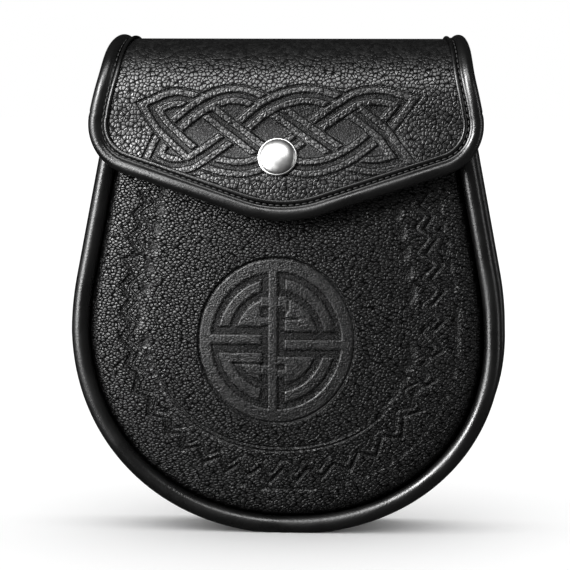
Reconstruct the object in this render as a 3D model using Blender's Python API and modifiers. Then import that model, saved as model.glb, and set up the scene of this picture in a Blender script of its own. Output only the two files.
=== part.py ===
"""A leather sporran pouch: moulded front, gusset, flat back, piped edges and a snapped flap.

Metres, +Z up, the front faces -Y. The pouch stands on the flattened undersides of its two
piped rims, with the origin under the middle of its bounding box.
"""

import math

import bmesh
import bpy
import numpy as np
from mathutils import Matrix, Vector

MM = 0.001

# Outline of the body, outside its piping
BODY_WIDTH = 170.2 * MM
WIDEST_HEIGHT = 78.6 * MM
BOTTOM_FULLNESS = 2.10
BOTTOM_DRIFT = 1.6 * MM
SIDE_BEND_RADIUS = 120 * MM
SIDE_LEAN = math.radians(10.4)
FOOT_SQUASH = 0.7 * MM

# Depth of the body, between the middles of its two rims
DEPTH_AT_FOOT = 38 * MM
DEPTH_AT_MOUTH = 28 * MM

# Leather and piping
LEATHER = 2.4 * MM
GUSSET_LEATHER = 2.0 * MM
FRONT_PIPING_RADIUS = 3.6 * MM
BACK_PIPING_RADIUS = 3.0 * MM
FLAP_PIPING_RADIUS = 2.85 * MM
SEAM_GAP = 0.3 * MM

# Body pieces
RIM_TOP = 170 * MM
FRONT_BELOW_RIM = 4 * MM
FRONT_TOP = RIM_TOP - FRONT_BELOW_RIM
GUSSET_INSET = 1.6 * MM
GUSSET_SAG = 1.5 * MM
GUSSET_SEAT = 0.65 * MM
FLANK_RISE = 3.4 * MM
FLANK_WIDTH = 5.0 * MM
CROWN_RISE = 8.6 * MM
MOUTH_SLACKENING = 0.5

# Flap: its outline is outside its piping
FLAP_CORNER_HALF_WIDTH = 77.8 * MM
FLAP_CORNER_BELOW_RIM = 9.4 * MM
FLAP_CORNER_HEIGHT = RIM_TOP - FLAP_CORNER_BELOW_RIM
FLAP_SIDE_LEAN = math.radians(10)
FLAP_CORNER_RADIUS = 20 * MM
FLAP_POINT_BELOW_RIM = 46.4 * MM
FLAP_POINT_HEIGHT = RIM_TOP - FLAP_POINT_BELOW_RIM
FLAP_POINT_SLOPE = math.radians(19.7)
FLAP_POINT_RADIUS = 53 * MM
FOLD_START_BELOW_RIM = 5 * MM
FOLD_START_HEIGHT = RIM_TOP - FOLD_START_BELOW_RIM
FOLD_OVER_RIM = 22.8 * MM
FOLD_TOP = RIM_TOP + FOLD_OVER_RIM
FOLD_BACK_OVER_RIM = 2 * MM
FOLD_BACK_HEIGHT = RIM_TOP + FOLD_BACK_OVER_RIM
FOLD_CREST_SHARE = 0.6
FLAP_STANDOFF = 0.8 * MM
FLAP_CROWN = 9.8 * MM
TAB_HEIGHT = 25 * MM
WELT_WIDTH = 2.6 * MM
WELT_THICKNESS = 0.8 * MM

# Snap fastener
SNAP_BELOW_RIM = 22.2 * MM
SNAP_HEIGHT = RIM_TOP - SNAP_BELOW_RIM
SNAP_OFFSET = -2.1 * MM
SNAP_CAP_RADIUS = 7.75 * MM
SNAP_CAP_RISE = 3.0 * MM
SNAP_RIM = 1.0 * MM
SNAP_SHANK_RADIUS = 2.0 * MM
SNAP_STUD_RADIUS = 4.5 * MM
SNAP_SEAT = 0.6 * MM

# Belt loops on the back
LOOP_SPACING = 74 * MM
LOOP_WIDTH = 22 * MM
LOOP_BELOW_TAB = 7 * MM
LOOP_SEWN_END = 9 * MM
LOOP_SLOT_HEIGHT = 38 * MM
LOOP_SLOT_DEPTH = 5.5 * MM
LOOP_RAMP = 4 * MM
LOOP_TOP = FOLD_BACK_HEIGHT - TAB_HEIGHT - LOOP_BELOW_TAB
LOOP_BASE_HEIGHT = LOOP_TOP - LOOP_SLOT_HEIGHT - 2 * LOOP_SEWN_END

# Shares of the flap's width at the start of its fold, round the fold to the back
FOLD_ROWS = [
    # angle_deg, width_share
    (0, 1.0),
    (15, 0.98),
    (30, 0.959),
    (60, 0.93),
    (90, 0.896),
    (130, 0.87),
    (180, 0.852),
]
# Shares of the flap's crown, down its front from the fold to the point
CROWN_ROWS = [
    # drop_share, crown_share
    (0.0, 0.32),
    (0.15, 0.36),
    (0.35, 0.64),
    (0.6, 0.93),
    (0.8, 1.0),
    (1.0, 0.98),
]

# Mesh density
RIM_STATIONS = 56
PIPING_ROUNDNESS = 2
PANEL_COLUMNS = 22
PANEL_ROWS = 22
GUSSET_ROWS = 4
SIDE_STATIONS = 5
CORNER_STATIONS = 6
EDGE_STATIONS = 6
POINT_STATIONS = 3
FOLD_STATIONS = 10
FRONT_ROWS = 8
TAB_ROWS = 2
SNAP_SIDES = 32
DENSE = 400


def clear_scene():
    for old in list(bpy.data.objects):
        bpy.data.objects.remove(old)


def make_material(name, colour, roughness, metallic=0.0):
    material = bpy.data.materials.new(name)
    material.use_nodes = True
    shader = material.node_tree.nodes["Principled BSDF"]
    shader.inputs["Base Color"].default_value = (*colour, 1)
    shader.inputs["Roughness"].default_value = roughness
    shader.inputs["Metallic"].default_value = metallic
    return material


def smooth_curve(rows, place):
    """Reads a smooth curve through a table's (place, value) rows."""
    places, values = np.array(rows, dtype=float).T
    slopes = np.gradient(values, places)
    row = np.clip(np.searchsorted(places, place) - 1, 0, len(places) - 2)
    span = places[row + 1] - places[row]
    t = np.clip((place - places[row]) / span, 0, 1)
    start = values[row] * (1 + 2 * t) * (1 - t) ** 2 + slopes[row] * span * t * (1 - t) ** 2
    end = values[row + 1] * t**2 * (3 - 2 * t) + slopes[row + 1] * span * t**2 * (t - 1)
    return start + end


# Body outline


def rim_half_width(height):
    """Half the body's width outside its piping, above its widest height."""
    bend_rise = SIDE_BEND_RADIUS * math.sin(SIDE_LEAN)
    rise = np.maximum(height - WIDEST_HEIGHT, 0)
    on_bend = np.minimum(rise, bend_rise)
    bend = SIDE_BEND_RADIUS - np.sqrt(SIDE_BEND_RADIUS**2 - on_bend**2)
    line = np.maximum(rise - bend_rise, 0) * math.tan(SIDE_LEAN)
    return BODY_WIDTH / 2 - bend - line


def outer_rim(top):
    """The body's outline as dense points, from the left top round the bottom to the right top."""
    heights = np.linspace(top, WIDEST_HEIGHT, DENSE, endpoint=False)
    angles = np.linspace(math.pi, 2 * math.pi, DENSE)
    cosine, sine = np.cos(angles), np.sin(angles)
    power = 2 / BOTTOM_FULLNESS
    depth = np.abs(sine) ** power
    bowl_x = BODY_WIDTH / 2 * np.sign(cosine) * np.abs(cosine) ** power
    bowl_x += BOTTOM_DRIFT * (1 - (1 - depth) ** 2)
    bowl_z = WIDEST_HEIGHT - (WIDEST_HEIGHT + FOOT_SQUASH) * depth
    widths = rim_half_width(heights)
    across = np.concatenate([-widths, bowl_x, widths[::-1]])
    up = np.concatenate([heights, bowl_z, heights[::-1]])
    return across, up


def rim_path(inset, top, stations):
    """Evenly spaced points (x, z) at a distance inside the body's outline."""
    across, up = outer_rim(top)
    keep = np.r_[True, np.hypot(np.diff(across), np.diff(up)) > 1e-7]
    across, up = across[keep], up[keep]
    step_x, step_z = np.gradient(across), np.gradient(up)
    length = np.hypot(step_x, step_z)
    across = across - step_z / length * inset
    up = up + step_x / length * inset
    run = np.r_[0, np.cumsum(np.hypot(np.diff(across), np.diff(up)))]
    even = np.linspace(0, run[-1], stations)
    return np.interp(even, run, across), np.interp(even, run, up)


def rim_front(height):
    """Y of the front rim, which leans back towards the mouth."""
    share = height / RIM_TOP
    return -DEPTH_AT_FOOT / 2 + (DEPTH_AT_FOOT - DEPTH_AT_MOUTH) * share


RIM_BACK = DEPTH_AT_FOOT / 2


class PanelOutline:
    """Maps a square of -1 to 1 onto the body's outline at an inset, with a straight top."""

    def __init__(self, inset, top):
        across, up = rim_path(inset, top, 4 * DENSE)
        low = up <= WIDEST_HEIGHT
        angle = np.arctan2(up[low] - WIDEST_HEIGHT, across[low])
        order = np.argsort(angle)
        self.angles = angle[order]
        self.reaches = np.hypot(across[low], up[low] - WIDEST_HEIGHT)[order]
        right = (across > 0) & (up >= WIDEST_HEIGHT)
        order = np.argsort(up[right])
        self.heights = up[right][order]
        self.widths = across[right][order]
        self.top = top

    def point(self, u, v):
        """(x, z, nearness to the edge from 0 in the middle to 1) of a place on the square."""
        if v >= 0:
            height = WIDEST_HEIGHT + v * (self.top - WIDEST_HEIGHT)
            return u * np.interp(height, self.heights, self.widths), height, abs(u)
        disc_x = u * math.sqrt(1 - v * v / 2)
        disc_z = v * math.sqrt(1 - u * u / 2)
        share = math.hypot(disc_x, disc_z)
        angle = math.atan2(disc_z, disc_x)
        if angle > 0:
            angle -= 2 * math.pi
        reach = share * np.interp(max(angle, -math.pi), self.angles, self.reaches)
        return reach * math.cos(angle), WIDEST_HEIGHT + reach * math.sin(angle), share


def dome(height, nearness):
    """How far the moulded front stands out of its rim."""
    from_edge = (1 - min(nearness, 1)) * BODY_WIDTH / 2
    flank = FLANK_RISE * math.sqrt(1 - (1 - min(from_edge / FLANK_WIDTH, 1)) ** 2)
    slack = max(height - WIDEST_HEIGHT, 0) / (FRONT_TOP - WIDEST_HEIGHT)
    return flank + CROWN_RISE * (1 - nearness**2) * (1 - MOUTH_SLACKENING * slack**2)


# Mesh helpers


def link(obj, material, root, collection):
    obj.parent = root
    obj.data.materials.append(material)
    collection.objects.link(obj)
    return obj


def mesh_object(name, work, material, root, collection):
    mesh = bpy.data.meshes.new(name)
    work.to_mesh(mesh)
    work.free()
    mesh.shade_smooth()
    mesh.set_sharp_from_angle(angle=math.radians(40))
    return link(bpy.data.objects.new(name, mesh), material, root, collection)


def mapped_grid(columns, rows, place):
    """A grid whose vertices are put by place(column share, row share), both from -1 to 1."""
    work = bmesh.new()
    bmesh.ops.create_grid(work, x_segments=columns, y_segments=rows, size=1)
    for vertex in work.verts:
        vertex.co = place(vertex.co.x, vertex.co.y)
    return work


def thicken(obj, thickness, offset):
    """Gives a surface its leather. Offset -1 puts it behind the surface, and 0 about it."""
    shell = obj.modifiers.new("leather", "SOLIDIFY")
    shell.thickness = thickness
    shell.offset = offset
    return obj


def tube(name, points, radius, material, root, collection):
    """A round cord along points, with closed ends, pressed flat where it would pass the floor."""
    curve = bpy.data.curves.new(name, "CURVE")
    curve.dimensions = "3D"
    curve.bevel_depth = radius
    curve.bevel_resolution = PIPING_ROUNDNESS
    curve.use_fill_caps = True
    spline = curve.splines.new("POLY")
    spline.points.add(len(points) - 1)
    for place, point in zip(spline.points, points):
        place.co = (*point, 1)
    guide = bpy.data.objects.new(name, curve)
    collection.objects.link(guide)
    evaluated = guide.evaluated_get(bpy.context.evaluated_depsgraph_get())
    mesh = bpy.data.meshes.new_from_object(evaluated)
    bpy.data.objects.remove(guide)
    work = bmesh.new()
    work.from_mesh(mesh)
    bpy.data.meshes.remove(mesh)
    bmesh.ops.remove_doubles(work, verts=work.verts, dist=0.01 * MM)
    for vertex in work.verts:
        vertex.co.z = max(vertex.co.z, 0)
    return mesh_object(name, work, material, root, collection)


def cutter(name, start, end, radius, collection):
    """A round hole along a line, as a hidden cutting tool."""
    work = bmesh.new()
    length = (end - start).length
    turn = (end - start).to_track_quat("Z", "Y").to_matrix().to_4x4()
    bmesh.ops.create_cone(
        work,
        cap_ends=True,
        segments=SNAP_SIDES,
        radius1=radius,
        radius2=radius,
        depth=length,
        matrix=Matrix.Translation((start + end) / 2) @ turn,
    )
    mesh = bpy.data.meshes.new(name)
    work.to_mesh(mesh)
    work.free()
    tool = bpy.data.objects.new(name, mesh)
    collection.objects.link(tool)
    tool.hide_render = True
    tool.display_type = "WIRE"
    return tool


def drill(obj, tool):
    cut = obj.modifiers.new("hole", "BOOLEAN")
    cut.operation = "DIFFERENCE"
    cut.object = tool
    tool.parent = obj.parent


# Body pieces


def denser_at_edges(share):
    return math.sin(share * math.pi / 2)


def front_panel(material, root, collection):
    """The moulded front: it turns down steeply just inside its piping, and crowns gently."""
    outline = PanelOutline(2 * FRONT_PIPING_RADIUS + SEAM_GAP, FRONT_TOP)

    def place(column, row):
        across, height, nearness = outline.point(
            denser_at_edges(column), denser_at_edges(row) if row < 0 else row
        )
        return across, rim_front(height) - dome(height, nearness), height

    work = mapped_grid(PANEL_COLUMNS, PANEL_ROWS, place)
    panel = mesh_object("front_panel", work, material, root, collection)
    return thicken(panel, LEATHER, -1)


def back_panel(material, root, collection):
    """The flat back, cut to the inside of its piping."""
    inset = 2 * BACK_PIPING_RADIUS + SEAM_GAP
    across, up = rim_path(inset, RIM_TOP, RIM_STATIONS)
    curve = bpy.data.curves.new("back_panel", "CURVE")
    curve.dimensions = "2D"
    curve.fill_mode = "BOTH"
    curve.extrude = LEATHER / 2
    spline = curve.splines.new("POLY")
    spline.points.add(len(across) - 1)
    for place, x, z in zip(spline.points, across, up):
        place.co = (x, z, 0, 1)
    spline.use_cyclic_u = True
    panel = bpy.data.objects.new("back_panel", curve)
    panel.rotation_euler = (math.radians(90), 0, 0)
    panel.location = (0, RIM_BACK, 0)
    return link(panel, material, root, collection)


def gusset(material, root, collection):
    """The band between the two rims. It pulls in a little along its middle."""
    front_seat = FRONT_PIPING_RADIUS + GUSSET_SEAT
    back_seat = BACK_PIPING_RADIUS + GUSSET_SEAT
    taut = rim_path(GUSSET_INSET, RIM_TOP, RIM_STATIONS + 1)
    slack = rim_path(GUSSET_INSET + GUSSET_SAG, RIM_TOP, RIM_STATIONS + 1)

    def place(column, row):
        station = round((column + 1) / 2 * RIM_STATIONS)
        sag = (1 - row * row) ** 2
        across, up = [
            (1 - sag) * taut[axis][station] + sag * slack[axis][station] for axis in (0, 1)
        ]
        near = rim_front(up) + front_seat
        far = RIM_BACK - back_seat
        return across, near + (far - near) * (row + 1) / 2, up

    work = mapped_grid(RIM_STATIONS, GUSSET_ROWS, place)
    band = mesh_object("gusset", work, material, root, collection)
    return thicken(band, GUSSET_LEATHER, 1)


def rim_piping(name, radius, depth_at, material, root, collection):
    """Piping round the body's outline, whose middle lies its own radius inside it."""
    across, up = rim_path(radius, RIM_TOP, RIM_STATIONS)
    points = [(x, depth_at(z), z) for x, z in zip(across, up)]
    return tube(name, points, radius, material, root, collection)


# Flap


def side_half_width(height):
    """Half the flap's width outside its piping, on its leaning side and on down."""
    tangent_height = FLAP_CORNER_HEIGHT + FLAP_CORNER_RADIUS * math.sin(FLAP_SIDE_LEAN)
    tangent_width = FLAP_CORNER_HALF_WIDTH - FLAP_CORNER_RADIUS * (1 - math.cos(FLAP_SIDE_LEAN))
    above = height - tangent_height
    return np.where(
        above > 0, tangent_width - above * math.tan(FLAP_SIDE_LEAN), FLAP_CORNER_HALF_WIDTH
    )


def flap_y(across, height):
    """Y of the middle of the flap's leather, on its front below the fold."""
    drop = (FOLD_START_HEIGHT - height) / (FOLD_START_HEIGHT - FLAP_POINT_HEIGHT)
    crown = FLAP_CROWN * smooth_curve(CROWN_ROWS, drop)
    spread = np.clip(across / side_half_width(height), -1, 1)
    seat = FRONT_PIPING_RADIUS + FLAP_STANDOFF + FLAP_PIPING_RADIUS
    return rim_front(height) - seat - crown * (1 - spread**2)


FLAP_BACK = RIM_BACK + LEATHER / 2 + SEAM_GAP + LEATHER / 2


def fold_point(across, angle):
    """A point of the flap's middle surface on its fold. Angle 0 is its front, 180 its back."""
    front = float(flap_y(across, FOLD_START_HEIGHT))
    crest = front + (FLAP_BACK - front) * FOLD_CREST_SHARE
    end, base = (front, FOLD_START_HEIGHT) if angle < 90 else (FLAP_BACK, FOLD_BACK_HEIGHT)
    turn = math.radians(angle)
    depth = crest + (end - crest) * abs(math.cos(turn))
    return Vector((across, depth, base + (FOLD_TOP - base) * math.sin(turn)))


def fold_half_width(angle):
    return float(side_half_width(FOLD_START_HEIGHT)) * float(smooth_curve(FOLD_ROWS, angle))


def arc(centre, radius, start, end, stations):
    angles = np.linspace(start, end, stations)
    return [(centre[0] + radius * math.cos(a), centre[1] + radius * math.sin(a)) for a in angles]


def lower_edge(inset):
    """The flap's right corner and half of its pointed edge, as (x, z) down to the middle."""
    corner_centre = (FLAP_CORNER_HALF_WIDTH - FLAP_CORNER_RADIUS, FLAP_CORNER_HEIGHT)
    point_centre = (0, FLAP_POINT_HEIGHT + FLAP_POINT_RADIUS)
    down = FLAP_POINT_SLOPE - math.pi / 2
    corner = arc(corner_centre, FLAP_CORNER_RADIUS - inset, FLAP_SIDE_LEAN, down, CORNER_STATIONS)
    tip = arc(point_centre, FLAP_POINT_RADIUS - inset, down, -math.pi / 2, POINT_STATIONS + 1)
    shares = np.linspace(0, 1, EDGE_STATIONS + 1)[1:-1]
    (x0, z0), (x1, z1) = corner[-1], tip[0]
    slope = [(x0 + (x1 - x0) * share, z0 + (z1 - z0) * share) for share in shares]
    return corner + slope + tip


def whole_edge(inset):
    """The lower edge from the left corner to the right one."""
    half = lower_edge(inset)
    return [(-x, z) for x, z in half] + half[-2::-1]


def flap_columns(inset):
    """Each lower edge point's place across the flap, from -1 to 1, by its run along the edge."""
    edge = np.array(whole_edge(inset))
    run = np.r_[0, np.cumsum(np.hypot(*np.diff(edge, axis=0).T))]
    return edge, 2 * run / run[-1] - 1


def flap(material, root, collection):
    """One sheet: a tab sewn to the back, the fold over the top, and the pointed front."""
    inset = 2 * FLAP_PIPING_RADIUS + SEAM_GAP
    edge, shares = flap_columns(inset)
    columns = len(edge) - 1
    rows = TAB_ROWS + FOLD_STATIONS + FRONT_ROWS

    def place(column, row):
        number = round((column + 1) / 2 * columns)
        level = round((row + 1) / 2 * rows)
        share = shares[number]
        if level <= TAB_ROWS:
            corner = fold_point((fold_half_width(180) - inset) * share, 180)
            return corner - Vector((0, 0, TAB_HEIGHT * (1 - level / TAB_ROWS)))
        level -= TAB_ROWS
        if level < FOLD_STATIONS:
            angle = 180 * (1 - level / FOLD_STATIONS)
            return fold_point((fold_half_width(angle) - inset) * share, angle)
        drop = (level - FOLD_STATIONS) / FRONT_ROWS
        top_x = (fold_half_width(0) - inset) * share
        across = top_x + (edge[number][0] - top_x) * drop
        height = FOLD_START_HEIGHT + (edge[number][1] - FOLD_START_HEIGHT) * drop
        return across, float(flap_y(across, height)), height

    work = mapped_grid(columns, rows, place)
    sheet = mesh_object("flap", work, material, root, collection)
    return thicken(sheet, LEATHER, 0)


FOLD_END_ANGLE = 165


def flap_edge_points(inset):
    """3D points on the flap's surface along its edge at an inset, from back left to back right."""
    right = [
        fold_point(fold_half_width(angle) - inset, angle)
        for angle in np.linspace(FOLD_END_ANGLE, 0, FOLD_STATIONS + 1)
    ]
    low = lower_edge(inset)
    side_top = (fold_half_width(0) - inset, FOLD_START_HEIGHT)
    for share in np.linspace(0, 1, SIDE_STATIONS)[1:-1]:
        across = side_top[0] + (low[0][0] - side_top[0]) * share
        height = side_top[1] + (low[0][1] - side_top[1]) * share
        right.append(Vector((across, float(flap_y(across, height)), height)))
    right += [Vector((x, float(flap_y(x, z)), z)) for x, z in low]
    left = [Vector((-point.x, point.y, point.z)) for point in right[:-1]]
    return left + right[::-1]


def piping_section(radius):
    """Piping and its sewn-down welt, as (out towards the edge, out of the leather's face)."""
    under = LEATHER / 2 + SEAM_GAP
    top = under + WELT_THICKNESS
    start, end = math.asin(top / radius), math.asin(under / radius)
    sweep = np.linspace(math.pi - start, end - math.pi, 11)
    round_part = [(radius * math.cos(a), radius * math.sin(a)) for a in sweep]
    round_part = round_part[:-1] + [(-radius * math.cos(end), -0.0)]
    inner = -radius - WELT_WIDTH
    return round_part + [(-radius * math.cos(end), under), (inner, under), (inner, top)]


def flap_piping(material, root, collection):
    """Piping along the flap's edge, lofted through one section at each point of the edge."""
    radius = FLAP_PIPING_RADIUS
    middles = flap_edge_points(radius)
    insides = flap_edge_points(2 * radius + SEAM_GAP)
    section = piping_section(radius)
    work = bmesh.new()
    rings = []
    for number, (middle, inside) in enumerate(zip(middles, insides)):
        before, after = middles[max(number - 1, 0)], middles[min(number + 1, len(middles) - 1)]
        along = (after - before).normalized()
        face = along.cross(inside - middle).normalized()
        out = along.cross(face).normalized()
        rings.append([work.verts.new(middle + out * a + face * b) for a, b in section])
    for first, second in zip(rings, rings[1:]):
        for a in range(len(section)):
            b = (a + 1) % len(section)
            work.faces.new((first[a], first[b], second[b], second[a]))
    for end in (rings[0], rings[-1]):
        work.faces.new(end)
    bmesh.ops.recalc_face_normals(work, faces=work.faces)
    return mesh_object("flap_piping", work, material, root, collection)


# Snap fastener


def flap_front(across, height):
    """A point of the flap's middle surface at a height on its front or on its fold."""
    if height <= FOLD_START_HEIGHT:
        return Vector((across, float(flap_y(across, height)), height))
    rise = (height - FOLD_START_HEIGHT) / (FOLD_TOP - FOLD_START_HEIGHT)
    return fold_point(across, math.degrees(math.asin(min(rise, 1))))


def snap_axis():
    """(point on the flap's middle surface, outward direction) at the snap."""
    step = 1 * MM
    x, z = SNAP_OFFSET, SNAP_HEIGHT
    slope_x = (flap_front(x + step, z).y - flap_front(x - step, z).y) / (2 * step)
    slope_z = (flap_front(x, z + step).y - flap_front(x, z - step).y) / (2 * step)
    return flap_front(x, z), Vector((slope_x, -1, slope_z)).normalized()


def turned(name, profile, base, out, material, root, collection):
    """A turned piece: a profile of (radius, height) spun about the line from base along out."""
    work = bmesh.new()
    chain = [work.verts.new((radius, 0, height)) for radius, height in profile]
    for first, second in zip(chain, chain[1:]):
        work.edges.new((first, second))
    bmesh.ops.spin(
        work,
        geom=work.verts[:] + work.edges[:],
        axis=(0, 0, 1),
        cent=(0, 0, 0),
        steps=SNAP_SIDES,
        angle=2 * math.pi,
        use_merge=True,
    )
    bmesh.ops.remove_doubles(work, verts=work.verts, dist=0.001 * MM)
    bmesh.ops.recalc_face_normals(work, faces=work.faces)
    obj = mesh_object(name, work, material, root, collection)
    obj.location = base
    obj.rotation_euler = out.to_track_quat("Z", "Y").to_euler()
    return obj


def snap_cap(material, root, collection):
    """The domed cap outside the flap, with a rolled rim and a shank through the leather."""
    middle, out = snap_axis()
    face = LEATHER / 2 + SEAM_GAP
    rim, dome_radius = SNAP_CAP_RADIUS, SNAP_CAP_RADIUS - SNAP_RIM / 2
    dome_rise = SNAP_CAP_RISE - SNAP_RIM
    steps = np.linspace(0, math.pi / 2, 7)
    crown = [
        (dome_radius * math.cos(a), face + SNAP_RIM + dome_rise * math.sin(a)) for a in steps[1:-1]
    ]
    profile = [
        (0, -LEATHER / 2),
        (SNAP_SHANK_RADIUS, -LEATHER / 2),
        (SNAP_SHANK_RADIUS, face),
        (rim - SNAP_RIM / 2, face),
        (rim, face + SNAP_RIM / 2),
        (rim - SNAP_RIM / 4, face + SNAP_RIM),
        *crown,
        (0, face + SNAP_CAP_RISE),
    ]
    return turned("snap_cap", profile, middle, out, material, root, collection)


def panel_y(across, height):
    """Y of the moulded front's outer face above the body's widest height."""
    inset = 2 * FRONT_PIPING_RADIUS + SEAM_GAP
    edge = rim_half_width(height) - inset / math.cos(SIDE_LEAN)
    return rim_front(height) - dome(height, min(abs(across) / edge, 1))


def snap_stud(material, root, collection):
    """The hidden socket and stud between the flap and the front, as one plain piece."""
    middle, out = snap_axis()
    inner_face = LEATHER / 2 + SNAP_SEAT
    gap_to_panel = panel_y(middle.x, middle.z) - middle.y
    length = gap_to_panel * abs(out.y) - inner_face - SNAP_SEAT
    neck = 0.7 * SNAP_STUD_RADIUS
    profile = [
        (0, 0),
        (SNAP_STUD_RADIUS, 0),
        (SNAP_STUD_RADIUS, length * 0.25),
        (neck, length * 0.35),
        (neck, length * 0.6),
        (SNAP_STUD_RADIUS, length * 0.7),
        (SNAP_STUD_RADIUS, length),
        (0, length),
    ]
    base = middle - out * (inner_face + length)
    return turned("snap_stud", profile, base, out, material, root, collection)


def drill_for_snap(sheet, tools):
    middle, out = snap_axis()
    reach = 3 * LEATHER
    tool = cutter(
        "flap_hole_tool",
        middle - out * reach,
        middle + out * reach,
        SNAP_SHANK_RADIUS + SEAM_GAP,
        tools,
    )
    drill(sheet, tool)


# Belt loops


def belt_loop(name, side, material, root, collection):
    """A leather keeper on the back: sewn ends, and a run that stands off for a strap."""
    lie = RIM_BACK + LEATHER / 2 + SEAM_GAP + LEATHER / 2
    stand = lie + LOOP_SLOT_DEPTH
    low = LOOP_BASE_HEIGHT
    stops = [
        (lie, low),
        (lie, low + LOOP_SEWN_END),
        (stand, low + LOOP_SEWN_END + LOOP_RAMP),
        (stand, low + LOOP_SEWN_END + LOOP_SLOT_HEIGHT - LOOP_RAMP),
        (lie, low + LOOP_SEWN_END + LOOP_SLOT_HEIGHT),
        (lie, low + 2 * LOOP_SEWN_END + LOOP_SLOT_HEIGHT),
    ]

    def place(column, row):
        depth, height = stops[round((row + 1) / 2 * (len(stops) - 1))]
        return side * LOOP_SPACING / 2 + column * LOOP_WIDTH / 2, depth, height

    work = mapped_grid(1, len(stops) - 1, place)
    loop = mesh_object(name, work, material, root, collection)
    bend = thicken(loop, LEATHER, 0)
    bend.modifiers["leather"].use_even_offset = True
    return loop


# Assembly


def centre_on_origin(root, collection):
    """Moves the root so that the bounding box's middle is over the origin."""
    bpy.context.view_layer.update()
    graph = bpy.context.evaluated_depsgraph_get()
    corners = []
    for obj in collection.objects:
        if obj.type == "EMPTY":
            continue
        evaluated = obj.evaluated_get(graph)
        corners += [obj.matrix_world @ vertex.co for vertex in evaluated.to_mesh().vertices]
        evaluated.to_mesh_clear()
    for axis in (0, 1):
        places = [corner[axis] for corner in corners]
        root.location[axis] -= (min(places) + max(places)) / 2
    bpy.context.view_layer.update()


def build():
    clear_scene()
    collection = bpy.data.collections.new("sporran_pouch")
    tools = bpy.data.collections.new("cutters")
    bpy.context.scene.collection.children.link(collection)
    bpy.context.scene.collection.children.link(tools)
    root = bpy.data.objects.new("pouch_root", None)
    collection.objects.link(root)

    grained = make_material("grained_black_leather", (0.012, 0.012, 0.013), 0.5)
    smooth = make_material("smooth_black_leather", (0.008, 0.008, 0.009), 0.35)
    steel = make_material("satin_nickel", (0.72, 0.71, 0.69), 0.25, 1.0)

    front_panel(grained, root, collection)
    back_panel(grained, root, collection)
    gusset(grained, root, collection)
    rim_piping("front_piping", FRONT_PIPING_RADIUS, rim_front, smooth, root, collection)
    rim_piping("back_piping", BACK_PIPING_RADIUS, lambda z: RIM_BACK, smooth, root, collection)
    sheet = flap(grained, root, collection)
    drill_for_snap(sheet, tools)
    flap_piping(smooth, root, collection)
    snap_cap(steel, root, collection)
    snap_stud(steel, root, collection)
    for name, side in (("belt_loop_left", -1), ("belt_loop_right", 1)):
        belt_loop(name, side, grained, root, collection)
    centre_on_origin(root, collection)


build()
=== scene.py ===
# %% [markdown]
# # A black leather sporran pouch
# A sporran is the pouch that is worn at the front of a kilt. This one is a moulded leather
# front on a gusset, with fat piped edges and a flap that a domed snap holds shut. The packed
# model is the frame: every piece made here takes its place from it.

# %% Load the frame
import math

import bmesh
import bpy
import numpy as np
from mathutils import Matrix, Vector


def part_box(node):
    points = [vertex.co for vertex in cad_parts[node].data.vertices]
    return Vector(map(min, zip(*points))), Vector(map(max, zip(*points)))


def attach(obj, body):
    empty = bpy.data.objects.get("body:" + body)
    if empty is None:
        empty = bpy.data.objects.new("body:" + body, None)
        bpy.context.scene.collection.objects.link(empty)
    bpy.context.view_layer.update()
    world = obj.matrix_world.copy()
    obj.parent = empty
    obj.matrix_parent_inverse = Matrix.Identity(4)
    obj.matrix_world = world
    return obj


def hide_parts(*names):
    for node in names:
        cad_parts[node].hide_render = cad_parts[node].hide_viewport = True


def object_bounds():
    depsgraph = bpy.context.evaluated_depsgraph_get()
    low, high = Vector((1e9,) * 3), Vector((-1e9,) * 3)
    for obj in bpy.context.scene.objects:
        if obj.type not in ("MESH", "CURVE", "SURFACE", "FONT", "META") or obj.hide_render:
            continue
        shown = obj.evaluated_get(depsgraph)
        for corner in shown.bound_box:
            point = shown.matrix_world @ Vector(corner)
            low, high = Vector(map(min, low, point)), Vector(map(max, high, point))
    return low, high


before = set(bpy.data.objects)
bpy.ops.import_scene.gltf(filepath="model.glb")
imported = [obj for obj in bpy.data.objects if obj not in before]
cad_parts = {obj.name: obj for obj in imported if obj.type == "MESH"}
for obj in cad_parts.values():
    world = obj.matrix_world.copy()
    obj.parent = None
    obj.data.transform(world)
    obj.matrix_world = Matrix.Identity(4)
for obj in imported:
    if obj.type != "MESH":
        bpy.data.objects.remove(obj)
cad_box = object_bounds()
print("nodes:", ", ".join(sorted(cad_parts)))

# %% [markdown]
# ## Sizes
# The leather's surfaces are worked out from the same few sizes as the solids, so that each
# finished piece lies in the space of the solid that it stands for. The solids were centred
# on their bounding box. Two of their own boxes show by how much: the back panel's in depth,
# and the flap piping's across.

# %% Sizes of the pouch
MM = 0.001
BODY_WIDTH = 170.2 * MM
WIDEST = 78.6 * MM
FULLNESS = 2.10
DRIFT = 1.6 * MM
BEND = 120 * MM
LEAN = math.radians(10.4)
SQUASH = 0.7 * MM
FOOT_DEPTH = 38 * MM
MOUTH_DEPTH = 28 * MM
RIM_TOP = 170 * MM
LEATHER = 2.4 * MM
FRONT_CORD = 3.6 * MM
BACK_CORD = 3.0 * MM
FLAP_CORD = 2.85 * MM
SEAM = 0.3 * MM

back_low, back_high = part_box("back_panel")
piping_low, piping_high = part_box("flap_piping")
BACK_PLANE = FOOT_DEPTH / 2
SHIFT = Vector(
    ((piping_low[0] + piping_high[0]) / 2, (back_low[1] + back_high[1]) / 2 - BACK_PLANE, 0)
)
print("the solids were moved by %.2f, %.2f mm" % (SHIFT.x / MM, SHIFT.y / MM))


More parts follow.
